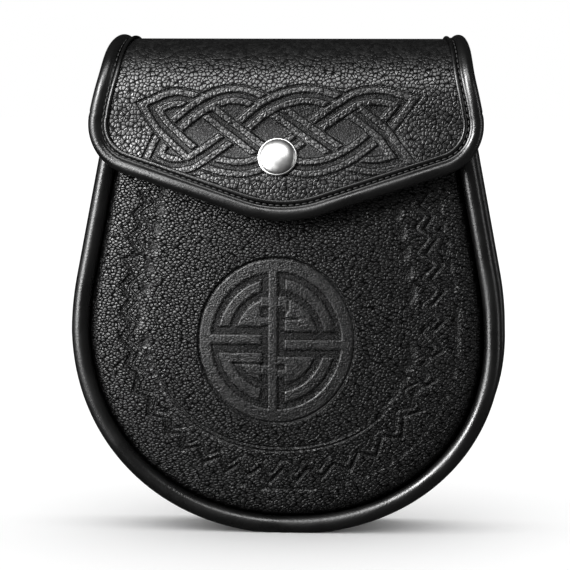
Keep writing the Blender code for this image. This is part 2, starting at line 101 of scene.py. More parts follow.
# %% Outline of the body
def rim_half_width(height):
    """Half the body's width above its widest height."""
    rise = np.maximum(height - WIDEST, 0)
    on_bend = np.minimum(rise, BEND * math.sin(LEAN))
    bend = BEND - np.sqrt(BEND**2 - on_bend**2)
    return BODY_WIDTH / 2 - bend - (rise - on_bend) * math.tan(LEAN)


def outline(top, count=400):
    """The body's outline from its left top round the bottom to its right top."""
    heights = np.linspace(top, WIDEST, count, endpoint=False)
    angles = np.linspace(math.pi, 2 * math.pi, count)
    power = 2 / FULLNESS
    depth = np.abs(np.sin(angles)) ** power
    bowl_x = BODY_WIDTH / 2 * np.sign(np.cos(angles)) * np.abs(np.cos(angles)) ** power
    bowl_x += DRIFT * (1 - (1 - depth) ** 2)
    bowl_z = WIDEST - (WIDEST + SQUASH) * depth
    widths = rim_half_width(heights)
    across = np.concatenate([-widths, bowl_x, widths[::-1]])
    up = np.concatenate([heights, bowl_z, heights[::-1]])
    keep = np.r_[True, np.hypot(np.diff(across), np.diff(up)) > 1e-7]
    return across[keep], up[keep]


def moved_in(across, up, inset):
    """A line moved to its left by a distance."""
    step_x, step_z = np.gradient(across), np.gradient(up)
    length = np.hypot(step_x, step_z)
    return across - step_z / length * inset, up + step_x / length * inset


def evenly(across, up, count):
    """The same line with its points evenly spaced."""
    run = np.r_[0, np.cumsum(np.hypot(np.diff(across), np.diff(up)))]
    even = np.linspace(0, run[-1], count)
    return np.interp(even, run, across), np.interp(even, run, up)


def rim_line(inset, top, stations):
    """Evenly spaced points (x, z) at a distance inside the outline."""
    return evenly(*moved_in(*outline(top), inset), stations)


def rim_front(height):
    return -FOOT_DEPTH / 2 + (FOOT_DEPTH - MOUTH_DEPTH) * height / RIM_TOP


edge_x, edge_z = outline(RIM_TOP, 120)


def inset_of(across, up):
    """How far inside the outline each point lies."""
    gaps = np.hypot(across[:, None] - edge_x[None, :], up[:, None] - edge_z[None, :])
    return gaps.min(axis=1)


print("outline: %.1f mm of edge" % (np.hypot(np.diff(edge_x), np.diff(edge_z)).sum() / MM))

# %% [markdown]
# ## Camera, light and floor
# The photograph was taken from a little above and a little to the pouch's left hand, with a
# long lens. Large soft lights on the left draw the long highlights on the piping, and weak
# ones beside the pouch light its rims. The lamps make highlights alone: a white studio lights
# the pale floor, so that the pouch stands in a soft shadow.

# %% Camera
def put_in_scene(name, data):
    """A new object that shows some data, such as a mesh, a lamp or a camera."""
    made = bpy.data.objects.new(name, data)
    bpy.context.scene.collection.objects.link(made)
    return made


AZIMUTH, ELEVATION, DISTANCE = math.radians(5.5), math.radians(5), 1.4
MM_PER_PIXEL = 0.397
PICTURE = 570

towards_camera = Vector(
    (
        math.sin(AZIMUTH) * math.cos(ELEVATION),
        -math.cos(AZIMUTH) * math.cos(ELEVATION),
        math.sin(ELEVATION),
    )
)
middle = Vector(((cad_box[0][i] + cad_box[1][i]) / 2 for i in range(3)))
sight = bpy.data.cameras.new("camera")
sight.sensor_width = 36
sight.lens = 36 * DISTANCE / (PICTURE * MM_PER_PIXEL * MM)
sight.clip_end = 20
camera = put_in_scene("camera", sight)
turn = towards_camera.to_track_quat("Z", "Y")
AIM = Vector((-1.6 * MM, -1.4 * MM, 0))
camera.location = middle + towards_camera * DISTANCE + turn @ AIM
camera.rotation_euler = turn.to_euler()
bpy.context.scene.camera = camera
print("lens %.0f mm" % sight.lens)


# %% Lights
LIT_POINT = Vector((0, 0, 0.1))
SOFTBOXES = [
    ("key_left", (-0.80, -0.9, 0.75), (0.35, 0.7), 46),
    ("card_left", (-1.07, -0.9, 0.25), (0.7, 0.6), 16),
    ("top_front", (-0.1, -1.0, 1.35), (0.9, 0.35), 13),
    ("rim_left", (-0.95, -0.1, 0.25), (0.12, 0.8), 0.6),
    ("rim_right", (0.95, -0.15, 0.3), (0.16, 0.8), 1.5),
]
SEEN_IN_GLOSS, SEEN_BY_FLOOR = 0.03, 1.2

for name, place, size, power in SOFTBOXES:
    lamp = bpy.data.lights.new(name, "AREA")
    lamp.shape = "RECTANGLE"
    lamp.size, lamp.size_y = size
    lamp.energy = power
    box = put_in_scene(name, lamp)
    box.location = place
    box.rotation_euler = (Vector(place) - LIT_POINT).to_track_quat("Z", "Y").to_euler()
    box.visible_diffuse = False

world = bpy.data.worlds.new("studio")
bpy.context.scene.world = world
world.use_nodes = True
nodes, links = world.node_tree.nodes, world.node_tree.links
ray = nodes.new("ShaderNodeLightPath")
level = None
for output, strength in (("Is Glossy Ray", SEEN_IN_GLOSS), ("Is Diffuse Ray", SEEN_BY_FLOOR)):
    choice = nodes.new("ShaderNodeMix")
    choice.inputs["A"].default_value = 1.0
    if level is not None:
        links.new(level, choice.inputs["A"])
    choice.inputs["B"].default_value = strength
    links.new(ray.outputs[output], choice.inputs["Factor"])
    level = choice.outputs["Result"]
links.new(level, nodes["Background"].inputs["Strength"])
nodes["Background"].inputs["Color"].default_value = (1, 1, 1, 1)
bpy.context.scene.view_settings.view_transform = "Standard"
print("five soft lights and a white studio")

# %% Floor
floor_mesh = bmesh.new()
bmesh.ops.create_grid(floor_mesh, x_segments=1, y_segments=1, size=4)
mesh = bpy.data.meshes.new("floor")
floor_mesh.to_mesh(mesh)
floor_mesh.free()
floor = put_in_scene("floor", mesh)
pale = bpy.data.materials.new("pale_floor")
pale.use_nodes = True
shader = pale.node_tree.nodes["Principled BSDF"]
shader.inputs["Base Color"].default_value = (0.95, 0.95, 0.95, 1)
shader.inputs["Roughness"].default_value = 0.5
shader.inputs["Specular IOR Level"].default_value = 0.0
mesh.materials.append(pale)
floor.visible_glossy = False
print("a pale floor")

# %% [markdown]
# ## Helpers for the leather
# All the leather pieces are made in two steps. A flat sheet or a cross-section is made with
# bmesh operators, and its vertices are then laid on the piece's real surface. A sheet that
# is cut flat and then bent is what leather is, so its edges and its thickness come out right.


# %% Sheets
def finish_mesh(name, work, place=None):
    """Turns a bmesh into an object.

    place(coordinates) gives each vertex its place on a surface, and its masks by name."""
    mesh = bpy.data.meshes.new(name)
    work.to_mesh(mesh)
    work.free()
    if place is not None:
        flat = np.empty(len(mesh.vertices) * 3)
        mesh.vertices.foreach_get("co", flat)
        flat = flat.reshape(-1, 3)
        laid, masks = place(flat)
        mesh.vertices.foreach_set("co", laid.ravel())
        cut = mesh.attributes.new("cut", "FLOAT_VECTOR", "POINT")
        cut.data.foreach_set("vector", (flat * (1, 1, 0)).ravel())
        for mask, values in masks.items():
            mesh.attributes.new(mask, "FLOAT", "POINT").data.foreach_set("value", values)
        mesh.update()
    mesh.shade_smooth()
    return put_in_scene(name, mesh)


def add_piece(piece, material, slot, *nodes):
    """Gives a piece its material, hangs it on the frame's root and hides the solids that it stands
    for. The slot is not used.
    """
    piece.data.materials.clear()
    piece.data.materials.append(material)
    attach(piece, "root")
    if nodes:
        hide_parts(*nodes)
    print("%s: %d faces" % (piece.name, len(piece.data.polygons)))
    return piece


def trimmed_sheet(edge, spacing, thickness, fine=None):
    """A flat sheet cut to a closed outline, with a second face below it.

    fine(points) says which faces get smaller ones, for relief to be pressed into."""
    low, high = edge.min(axis=0), edge.max(axis=0)
    cells = np.ceil((high - low) / spacing).astype(int)
    work = bmesh.new()
    bmesh.ops.create_grid(work, x_segments=int(cells[0]), y_segments=int(cells[1]), size=0.5)
    size = Matrix.Diagonal((*(cells * spacing), 1, 1))
    bmesh.ops.transform(
        work, verts=work.verts, matrix=Matrix.Translation((*((low + high) / 2), 0)) @ size
    )
    points = np.array([vertex.co[:2] for vertex in work.verts])
    inside, nearest = place_in_outline(points, edge)
    apart = np.hypot(*(points - nearest).T)
    keep = inside & (apart >= 0.45 * spacing)
    out = [vertex for vertex, kept in zip(work.verts, keep) if not kept]
    bmesh.ops.delete(work, geom=out, context="VERTS")
    loose = [v for v in work.verts if len(v.link_faces) == 0]
    bmesh.ops.delete(work, geom=loose, context="VERTS")
    border = [e for e in work.edges if e.is_boundary]
    made = bmesh.ops.extrude_edge_only(work, edges=border)["geom"]
    rim = [v for v in made if isinstance(v, bmesh.types.BMVert)]
    _, nearest = place_in_outline(np.array([v.co[:2] for v in rim]), edge)
    for vertex, spot in zip(rim, nearest):
        vertex.co = (*spot, 0)
    bmesh.ops.recalc_face_normals(work, faces=work.faces)
    work.faces.ensure_lookup_table()
    if work.faces[0].normal.z < 0:
        bmesh.ops.reverse_faces(work, faces=work.faces)
    bmesh.ops.solidify(work, geom=work.faces[:], thickness=thickness)
    for _ in range(2 if fine else 0):
        tops = [f for f in work.faces if f.normal.z > 0.5 and f.calc_center_median().z > -1e-9]
        chosen = fine(np.array([f.calc_center_median()[:2] for f in tops]))
        edges = {e for f, pick in zip(tops, chosen) if pick for e in f.edges}
        bmesh.ops.subdivide_edges(work, edges=list(edges), cuts=1, use_grid_fill=True)
    return work


def place_in_outline(points, edge):
    """(inside, nearest point of the outline) for each flat point."""
    start, end = edge, np.roll(edge, -1, axis=0)
    along = end - start
    nearest = np.empty_like(points)
    inside = np.empty(len(points), dtype=bool)
    for block in range(0, len(points), 2000):
        some = points[block : block + 2000, None, :]
        share = ((some - start) * along).sum(-1) / np.maximum((along**2).sum(-1), 1e-16)
        spots = start + np.clip(share, 0, 1)[..., None] * along
        gaps = np.hypot(*np.moveaxis(some - spots, -1, 0))
        pick = gaps.argmin(axis=1)
        nearest[block : block + 2000] = spots[np.arange(len(pick)), pick]
        x, y = some[..., 0], some[..., 1]
        crosses = (start[:, 1] > y) != (end[:, 1] > y)
        rise = np.where(along[:, 1] == 0, 1e-16, along[:, 1])
        meets = start[:, 0] + (y - start[:, 1]) / rise * along[:, 0]
        inside[block : block + 2000] = (crosses & (meets > x)).sum(axis=1) % 2 == 1
    return inside, nearest


# %% Sweeps
def sweep(section, stations):
    """A closed band: a ring of points, drawn from station to station with extrude.

    A station is (middle, out, face): section points are middle + out * a + face * b. A third value
    of a section point is its painted shade, as in a valley."""
    work = bmesh.new()
    valley_shade = work.verts.layers.float.new("recess_shade")
    sides = len(section(0) if callable(section) else section)
    bmesh.ops.create_circle(work, segments=sides, radius=1, cap_ends=True)
    ring = list(work.verts)
    edges = list(work.edges)
    for number, (middle, out, face) in enumerate(stations):
        if number:
            made = bmesh.ops.extrude_edge_only(work, edges=edges)["geom"]
            fresh = [v for v in made if isinstance(v, bmesh.types.BMVert)]
            edges = [
                e
                for e in made
                if isinstance(e, bmesh.types.BMEdge) and all(v in fresh for v in e.verts)
            ]
            before = {tuple(np.round(v.co, 9)): k for k, v in enumerate(ring)}
            ring = sorted(fresh, key=lambda v: before[tuple(np.round(v.co, 9))])
        shape = section(number) if callable(section) else section
        for vertex, (a, b, *dark) in zip(ring, shape):
            vertex.co = middle + out * a + face * b
            vertex[valley_shade] = dark[0] if dark else 0
    bmesh.ops.contextual_create(work, geom=ring)
    bmesh.ops.recalc_face_normals(work, faces=work.faces)
    return work

# %% [markdown]
# ## Leather and metal
# Grained leather is a skin of small pebbles with creases between them, which get painted shade. A
# Voronoi texture's distance to its cell edges gives just that, once noise has bent the cells. The
# grain is one node group, so each leather sets its own pebble size and depth. The sheets store the
# place of each vertex on the flat hide, and the grain follows that.


# %% Node helpers
def new_group(name, inputs, outputs):
    group = bpy.data.node_groups.new(name, "ShaderNodeTree")
    for title, kind, value in inputs:
        socket = group.interface.new_socket(title, in_out="INPUT", socket_type=kind)
        if value is not None:
            socket.default_value = value
    for title, kind in outputs:
        group.interface.new_socket(title, in_out="OUTPUT", socket_type=kind)
    return group


class Wiring:
    """Adds nodes to a tree, and joins sockets by name."""

    def __init__(self, tree):
        self.tree = tree

    def add(self, kind, settings=None, **inputs):
        node = self.tree.nodes.new("ShaderNode" + kind)
        for key, value in (settings or {}).items():
            setattr(node, key, value)
        for key, value in inputs.items():
            self.join(value, node.inputs[key.replace("_", " ")])
        return node

    def join(self, value, socket):
        if isinstance(value, bpy.types.NodeSocket):
            self.tree.links.new(value, socket)
        else:
            socket.default_value = value

    def math(self, operation, *values, clamp=False):
        node = self.tree.nodes.new("ShaderNodeMath")
        node.operation, node.use_clamp = operation, clamp
        for value, socket in zip(values, node.inputs):
            self.join(value, socket)
        return node.outputs[0]

    def tones(self, share, dark, light):
        """A grey or tinted colour between two others."""
        node = self.add("Mix", {"data_type": "RGBA"}, Factor=share)
        node.inputs["A"].default_value = (*dark, 1)
        node.inputs["B"].default_value = (*light, 1)
        return node.outputs["Result"]

    def span(self, value, low, high, to_low=0.0, to_high=1.0, smooth=True):
        node = self.tree.nodes.new("ShaderNodeMapRange")
        node.interpolation_type = "SMOOTHSTEP" if smooth else "LINEAR"
        for key, number in zip(range(5), (value, low, high, to_low, to_high)):
            self.join(number, node.inputs[key])
        return node.outputs[0]


def new_material(name):
    """(material, wiring, shader) of a new material."""
    material = bpy.data.materials.new(name)
    material.use_nodes = True
    tree = material.node_tree
    return material, Wiring(tree), tree.nodes["Principled BSDF"]


# %% Pebbled grain
grain_group = new_group(
    "pebbled_grain",
    [
        ("Vector", "NodeSocketVector", None),
        ("Pebbles per Metre", "NodeSocketFloat", 550.0),
        ("Irregularity", "NodeSocketFloat", 0.6),
        ("Crease Width", "NodeSocketFloat", 0.22),
    ],
    [("Height", "NodeSocketFloat"), ("Crease", "NodeSocketFloat"), ("Tone", "NodeSocketFloat")],
)
wire = Wiring(grain_group)
take = grain_group.nodes.new("NodeGroupInput")
give = grain_group.nodes.new("NodeGroupOutput")
place = wire.add("VectorMath", {"operation": "SCALE"}, Vector=take.outputs["Vector"])
wire.join(take.outputs["Pebbles per Metre"], place.inputs["Scale"])
bend = wire.add("TexNoise", Vector=place.outputs[0], Scale=0.9, Detail=2.0)
centred = wire.add("VectorMath", {"operation": "SUBTRACT"})
wire.join(bend.outputs["Color"], centred.inputs[0])
centred.inputs[1].default_value = (0.5, 0.5, 0.5)
pushed = wire.add("VectorMath", {"operation": "SCALE"}, Vector=centred.outputs[0])
wire.join(take.outputs["Irregularity"], pushed.inputs["Scale"])
bent_place = wire.add("VectorMath", {"operation": "ADD"})
wire.join(place.outputs[0], bent_place.inputs[0])
wire.join(pushed.outputs[0], bent_place.inputs[1])
edges = wire.add(
    "TexVoronoi",
    {"voronoi_dimensions": "2D", "feature": "DISTANCE_TO_EDGE"},
    Vector=bent_place.outputs[0],
    Scale=1.0,
)
cells = wire.add(
    "TexVoronoi", {"voronoi_dimensions": "2D"}, Vector=bent_place.outputs[0], Scale=1.0
)
split = wire.add("SeparateColor", Color=cells.outputs["Color"])
pebble = wire.span(edges.outputs["Distance"], 0.0, take.outputs["Crease Width"])
corner = wire.math("MULTIPLY", wire.span(cells.outputs["Distance"], 0.34, 0.66), 0.9)
fine = wire.add("TexNoise", Vector=place.outputs[0], Scale=3.5, Detail=3.0)
rise = wire.span(split.outputs[0], 0.0, 1.0, 0.7, 1.0, smooth=False)
domed = wire.math("MULTIPLY", cells.outputs["Distance"], cells.outputs["Distance"])
domed = wire.math("SUBTRACT", 1.0, wire.math("MULTIPLY", domed, 1.2))
body = wire.math("ADD", wire.math("MULTIPLY", domed, 0.5), wire.math("MULTIPLY", pebble, 0.3))
height = wire.math("MULTIPLY", body, rise)
tilt = wire.add("TexNoise", Vector=place.outputs[0], Scale=0.55, Detail=1.0)
height = wire.math("ADD", height, wire.math("MULTIPLY", tilt.outputs["Fac"], 0.6))
height = wire.math("ADD", height, wire.math("MULTIPLY", fine.outputs["Fac"], 0.2))
wire.join(height, give.inputs["Height"])
# Crease marks where the leather gets painted shade: the creases and the pebbles' outer parts.
crease = wire.math("MAXIMUM", wire.math("SUBTRACT", 1.0, pebble), corner)
wire.join(crease, give.inputs["Crease"])
wire.join(split.outputs[1], give.inputs["Tone"])
print("grain group:", len(grain_group.nodes), "nodes")


# %% Grained leather
def grained_leather(name, pebbles, depth, stretch=(1, 1, 1), turn=0.0, gloss=0.32, sheen=0.5):
    """Black hide with pebbles that a press has flattened where its masks say so.

    Painted shade: the creases between pebbles and the masked recesses get a near-black colour, and
    there the surface turns to a black metal, which has no gloss of its own."""
    material, wire, shader = new_material(name)
    flat = wire.add("Attribute", {"attribute_name": "cut"})
    pressed = wire.add("Attribute", {"attribute_name": "pressed"}).outputs["Fac"]
    recess_shade = wire.add("Attribute", {"attribute_name": "recess_shade"}).outputs["Fac"]
    turned = wire.add("Mapping", Vector=flat.outputs["Vector"])
    turned.inputs["Rotation"].default_value = (0, 0, turn)
    turned.inputs["Scale"].default_value = stretch
    grain = wire.add("Group", {"node_tree": grain_group}, Vector=turned.outputs[0])
    grain.inputs["Pebbles per Metre"].default_value = pebbles
    stipple = wire.add("TexNoise", Vector=flat.outputs["Vector"], Scale=1500.0, Detail=1.0)
    dots = wire.span(stipple.outputs["Fac"], 0.45, 0.6)
    keep = wire.math("SUBTRACT", 1.0, wire.math("MULTIPLY", pressed, 0.88))
    height = wire.math("MULTIPLY", grain.outputs["Height"], keep)
    faint = wire.math("MULTIPLY", pressed, 0.14)
    speckle = wire.math("ADD", wire.math("MULTIPLY", recess_shade, 0.5), faint)
    height = wire.math("ADD", height, wire.math("MULTIPLY", dots, speckle))
    bump = wire.add("Bump", Height=height, Strength=1.0, Distance=depth)
    wire.join(bump.outputs["Normal"], shader.inputs["Normal"])
    # Painted shade: crease and recess darkness sets the colour, the roughness and a black metal
    # below.
    crease = wire.math("MULTIPLY", grain.outputs["Crease"], keep)
    sunk = wire.math("SUBTRACT", 1.0, wire.math("MULTIPLY", dots, 0.5))
    shade = wire.math("MAXIMUM", crease, wire.math("MULTIPLY", recess_shade, sunk))
    tone = wire.tones(shade, (0.006, 0.006, 0.0062), (0.001, 0.001, 0.001))
    wire.join(tone, shader.inputs["Base Color"])
    worn = wire.span(grain.outputs["Tone"], 0.0, 1.0, gloss - 0.06, gloss + 0.10, smooth=False)
    rough = wire.math("ADD", worn, wire.math("MULTIPLY", shade, 0.1), clamp=True)
    wire.join(rough, shader.inputs["Roughness"])
    wire.join(wire.math("MULTIPLY", shade, 0.95), shader.inputs["Metallic"])
    shader.inputs["Specular IOR Level"].default_value = sheen
    return material


flap_leather = grained_leather("flap_grained_leather", 640, 0.0003, gloss=0.32, sheen=0.75)
panel_leather = grained_leather(
    "panel_grained_leather", 620, 0.00045, (1, 1.5, 1), math.radians(38), gloss=0.33, sheen=0.4
)
back_leather = grained_leather("back_grained_leather", 620, 0.0002)


# %% Smooth leather
def smooth_leather(name, colour=0.005, gloss=0.34, depth=0.00008):
    """Thin black leather round the cords: fine pores, and a soft change of gloss. Painted shade
    from the recess mask turns it to a black metal in the piping's valleys.
    """
    material, wire, shader = new_material(name)
    here = wire.add("TexCoord").outputs["Object"]
    pores = wire.add("TexNoise", Vector=here, Scale=1400.0, Detail=3.0)
    patches = wire.add("TexNoise", Vector=here, Scale=60.0, Detail=2.0)
    bump = wire.add("Bump", Height=pores.outputs["Fac"], Strength=1.0, Distance=depth)
    wire.join(bump.outputs["Normal"], shader.inputs["Normal"])
    rough = wire.span(patches.outputs["Fac"], 0.3, 0.7, gloss - 0.06, gloss + 0.08)
    wire.join(rough, shader.inputs["Roughness"])
    tone = wire.tones(pores.outputs["Fac"], [colour * 0.5] * 3, [colour * 1.6] * 3)
    wire.join(tone, shader.inputs["Base Color"])
    # Painted shade in valleys: a black metal without gloss.
    valley_shade = wire.add("Attribute", {"attribute_name": "recess_shade"}).outputs["Fac"]
    wire.join(wire.math("MULTIPLY", valley_shade, 0.95), shader.inputs["Metallic"])
    return material


piping_leather = smooth_leather("smooth_piping_leather", gloss=0.3)


# %% Satin nickel
def satin_nickel():
    material, wire, shader = new_material("satin_nickel_finish")
    shader.inputs["Metallic"].default_value = 1.0
    here = wire.add("TexCoord").outputs["Object"]
    haze = wire.add("TexNoise", Vector=here, Scale=420.0, Detail=3.0)
    tone = wire.tones(haze.outputs["Fac"], (0.48, 0.48, 0.48), (0.60, 0.60, 0.59))
    wire.join(tone, shader.inputs["Base Color"])
    rough = wire.span(haze.outputs["Fac"], 0.3, 0.7, 0.32, 0.37)
    wire.join(rough, shader.inputs["Roughness"])
    return material


nickel = satin_nickel()
print("five finishes")

# %% [markdown]
# ## Tooled relief
# The ornaments are pressed into the wet hide with tools. Each is painted as heights on the
# flat leather, in millimetres, from the lowest layer to the highest: first the stippled
# ground, then the bands, and last the short stretches where one band passes over another.


# %% Distances on the flat leather
def step_between(low, high, value):
    t = np.clip((value - low) / (high - low), 0, 1)
    return t * t * (3 - 2 * t)


def smooth_path(points, per_span=10, closed=True):
    """A smooth line through points. A point given twice stays a sharp corner."""
    points = np.array(points, dtype=float)
    count = len(points)
    line = []
    for k in range(count if closed else count - 1):
        wrap = (lambda i: i % count) if closed else (lambda i: min(max(i, 0), count - 1))
        a, b, c, d = (points[wrap(k + i)] for i in (-1, 0, 1, 2))
        if np.allclose(b, c):
            continue
        if np.allclose(a, b):
            a = b - (c - b)
        if np.allclose(c, d):
            d = c + (c - b)
        for t in np.linspace(0, 1, per_span, endpoint=False):
            square, cube = 2 * a - 5 * b + 4 * c - d, 3 * b - a - 3 * c + d
            line.append(0.5 * (2 * b + (c - a) * t + square * t**2 + cube * t**3))
    if not closed:
        line.append(points[-1])
    return np.array(line)


def distance_to(points, line, closed=False, square_ends=False):
    """Distance of each point to a line, infinite past its ends if they are square."""
    start = line if closed else line[:-1]
    end = np.roll(line, -1, axis=0) if closed else line[1:]
    along = end - start
    size = np.maximum((along**2).sum(-1), 1e-12)
    best = np.full(len(points), np.inf)
    near = np.all((points > line.min(axis=0) - 6) & (points < line.max(axis=0) + 6), axis=1)
    chosen = np.flatnonzero(near)
    for block in np.array_split(chosen, max(len(chosen) // 4000, 1)):
        some = points[block, None, :]
        share = ((some - start) * along).sum(-1) / size
        gap = np.hypot(*np.moveaxis(some - start - np.clip(share, 0, 1)[..., None] * along, -1, 0))
        pick = gap.argmin(axis=1)
        rows = np.arange(len(block))
        found = gap[rows, pick]
        if square_ends:
            past = (pick == 0) & (share[rows, 0] < 0)
            past |= (pick == len(start) - 1) & (share[rows, -1] > 1)
            found = np.where(past, np.inf, found)
        best[block] = found
    return best


def within(points, ring):
    """Which points lie inside a closed ring."""
    inside = np.zeros(len(points), dtype=bool)
    x, y = points.T
    for (x0, y0), (x1, y1) in zip(ring, np.roll(ring, -1, axis=0)):
        if y0 != y1:
            inside ^= ((y0 > y) != (y1 > y)) & (x0 + (y - y0) / (y1 - y0) * (x1 - x0) > x)
    return inside


class Relief:
    """Heights in mm on flat points, with masks for pressed grain and for painted shade in the
    sunk, stippled places and groove floors.
    """

    def __init__(self, points):
        self.points = points
        self.height = np.zeros(len(points))
        self.pressed = np.zeros(len(points))
        self.recess_shade = np.zeros(len(points))

    def lay(self, share, height, pressed, recess_shade):
        """Blends towards new values where share goes from 0 to 1."""
        self.height += (height - self.height) * share
        self.pressed += (pressed - self.pressed) * share
        self.recess_shade += (recess_shade - self.recess_shade) * share

    def groove(self, distance, width, depth, dark=0.8):
        """An incised line with sloping sides, and painted shade on its floor."""
        share = 1 - step_between(width * 0.2, width * 0.7, distance)
        bottom = 1 - step_between(width * 0.15, width * 0.4, distance)
        self.height = np.minimum(self.height, self.height - depth * share)
        self.pressed = np.maximum(self.pressed, share * 0.9)
        self.recess_shade = np.maximum(self.recess_shade, bottom * dark)


print("relief helpers ready")

# %% [markdown]
# ## The moulded front panel
# On the real pouch the front is one hide, wetted and pressed over a form, so it turns down
# steeply inside the piping and crowns gently. Here it is a flat sheet cut to the outline,
# laid on that crowned surface.

# %% Surface of the front panel
FRONT_TOP = 166 * MM
PANEL_INSET = 2 * FRONT_CORD + SEAM
FLANK_RISE, FLANK_WIDTH = 3.4 * MM, 5.0 * MM
CROWN_RISE, MOUTH_SLACK = 8.6 * MM, 0.5

panel_x, panel_z = rim_line(PANEL_INSET, FRONT_TOP, 1600)
low_part = panel_z <= WIDEST
reach_angles = np.arctan2(panel_z[low_part] - WIDEST, panel_x[low_part])
reaches = np.hypot(panel_x[low_part], panel_z[low_part] - WIDEST)
reach_order = np.argsort(reach_angles)
right_part = (panel_x > 0) & (panel_z >= WIDEST)
width_order = np.argsort(panel_z[right_part])


def panel_nearness(x, z):
    """0 in the middle of the front panel, and 1 at its edge."""
    width = np.interp(z, panel_z[right_part][width_order], panel_x[right_part][width_order])
    angle = np.arctan2(np.minimum(z - WIDEST, 0), x)
    angle = np.where(angle > 0, -math.pi, angle)
    reach = np.interp(angle, reach_angles[reach_order], reaches[reach_order])
    low = np.hypot(x, z - WIDEST) / reach
    return np.clip(np.where(z >= WIDEST, np.abs(x) / width, low), 0, 1)


def panel_y(x, z):
    """Y of the front panel's outer face."""
    near = panel_nearness(x, z)
    from_edge = (1 - near) * BODY_WIDTH / 2
    flank = FLANK_RISE * np.sqrt(1 - (1 - np.minimum(from_edge / FLANK_WIDTH, 1)) ** 2)
    slack = np.maximum(z - WIDEST, 0) / (FRONT_TOP - WIDEST)
    crown = CROWN_RISE * (1 - near**2) * (1 - MOUTH_SLACK * slack**2)
    return rim_front(z) - flank - crown


# %% Medallion
MEDALLION_X, MEDALLION_Z = -2.7, 76.4
MEDALLION_WIDE, MEDALLION_TALL = 30.9, 32.5
GROUND_DEPTH = 0.55


def medallion(relief):
    """Two rings and a quartered disc, crossed by bars that pass over the stippled lanes; the sunk
    lanes and the feet of the walls get painted shade.
    """
    x = (relief.points[:, 0] - MEDALLION_X) * 32 / MEDALLION_WIDE
    z = (relief.points[:, 1] - MEDALLION_Z) * 32 / MEDALLION_TALL
    radius = np.hypot(x, z)
    spots = np.stack([x, z], axis=1)
    near = radius < 36

    def between(value, low, high):
        return np.minimum(value - low, high - value)

    def raise_up(margin, top=-0.12):
        """Lifts a flat-topped band where its margin, the distance inside its edge, is positive,
        and paints shade along the foot of its wall.
        """
        share = step_between(-0.15, 0.4, margin) * near
        relief.lay(share, top, 0.9, 0.0)
        # Painted shade at the foot of each wall, where it meets the sunk lanes.
        foot = step_between(-0.75, -0.35, margin) * (1 - step_between(-0.1, 0.1, margin)) * near
        relief.recess_shade = np.maximum(relief.recess_shade, foot * (relief.height < -0.3))

    # The sunk, stippled lanes get painted shade of 0.55.
    relief.lay(step_between(0, 0.3, 32 - radius) * near, -GROUND_DEPTH, 1.0, 0.55)
    left_of_bar, right_of_bar = -6.2 - x, x - 3.6
    above = np.where(x < 0, z - 5.5, z - 3.7)
    below = np.where(x < 0, -4.6 - z, -6.2 - z)
    quarter = np.minimum(np.maximum(left_of_bar, right_of_bar), np.maximum(above, below))
    raise_up(np.minimum(between(radius, 19.8, 24.0), quarter))
    raise_up(np.minimum(16.9 - radius, quarter))
    left_bar = np.minimum(between(z, -1.4, 2.3), np.minimum(-6.1 - x, 27 - radius))
    right_bar = np.minimum(between(z, -3.2, 0.5), np.minimum(x - 3.5, 27 - radius))
    raise_up(np.maximum(left_bar, right_bar))
    links = [(-7.8, -3.0, 5.9, 9.1), (-6.4, -3.0, 13.0, 16.8), (0.6, 4.2, 12.8, 17.2)]
    links += [(-23.4, -5.6, -8.5, -4.9), (3.5, 9.5, 4.0, 7.6), (-6.0, -3.0, -13.0, -9.4)]
    links += [(0.5, 14.2, -9.0, -6.1), (0.5, 4.0, -14.2, -11.0)]
    for low_x, high_x, low_z, high_z in links:
        link = np.minimum(between(x, low_x, high_x), between(z, low_z, high_z))
        raise_up(np.minimum(link, 24.0 - radius))
    for start, end in [((-18, -8.9), (-5.4, -8.9)), ((3.6, 8.4), (9.2, 8.4))]:
        relief.groove(distance_to(spots, np.array([start, end])), 0.9, 0.4)
    hook = smooth_path([(5.0, 15.2), (4.9, 12.2), (3.2, 9.9)], closed=False)
    relief.groove(distance_to(spots, hook), 0.8, 0.35)
    raise_up(np.minimum(between(x, -3.2, 0.6), 27.2 - radius), top=-0.05)
    raise_up(between(radius, 26.5, 31.5))
    relief.groove(np.abs(radius - 31.9), 0.9, 0.4, 0.5)


# %% Border
def border_line(at_side, at_foot, count):
    """A line parallel to the rim, at one inset beside the pouch's sides and another below."""
    across, up = outline(RIM_TOP)
    low = step_between(110 * MM, 25 * MM, up)
    across, up = moved_in(across, up, (at_side + (at_foot - at_side) * low) * MM)
    for _ in range(3):
        across[1:-1] = (across[:-2] + across[1:-1] + across[2:]) / 3
        up[1:-1] = (up[:-2] + up[1:-1] + up[2:]) / 3
    return np.stack(evenly(across, up, count), axis=1) / MM


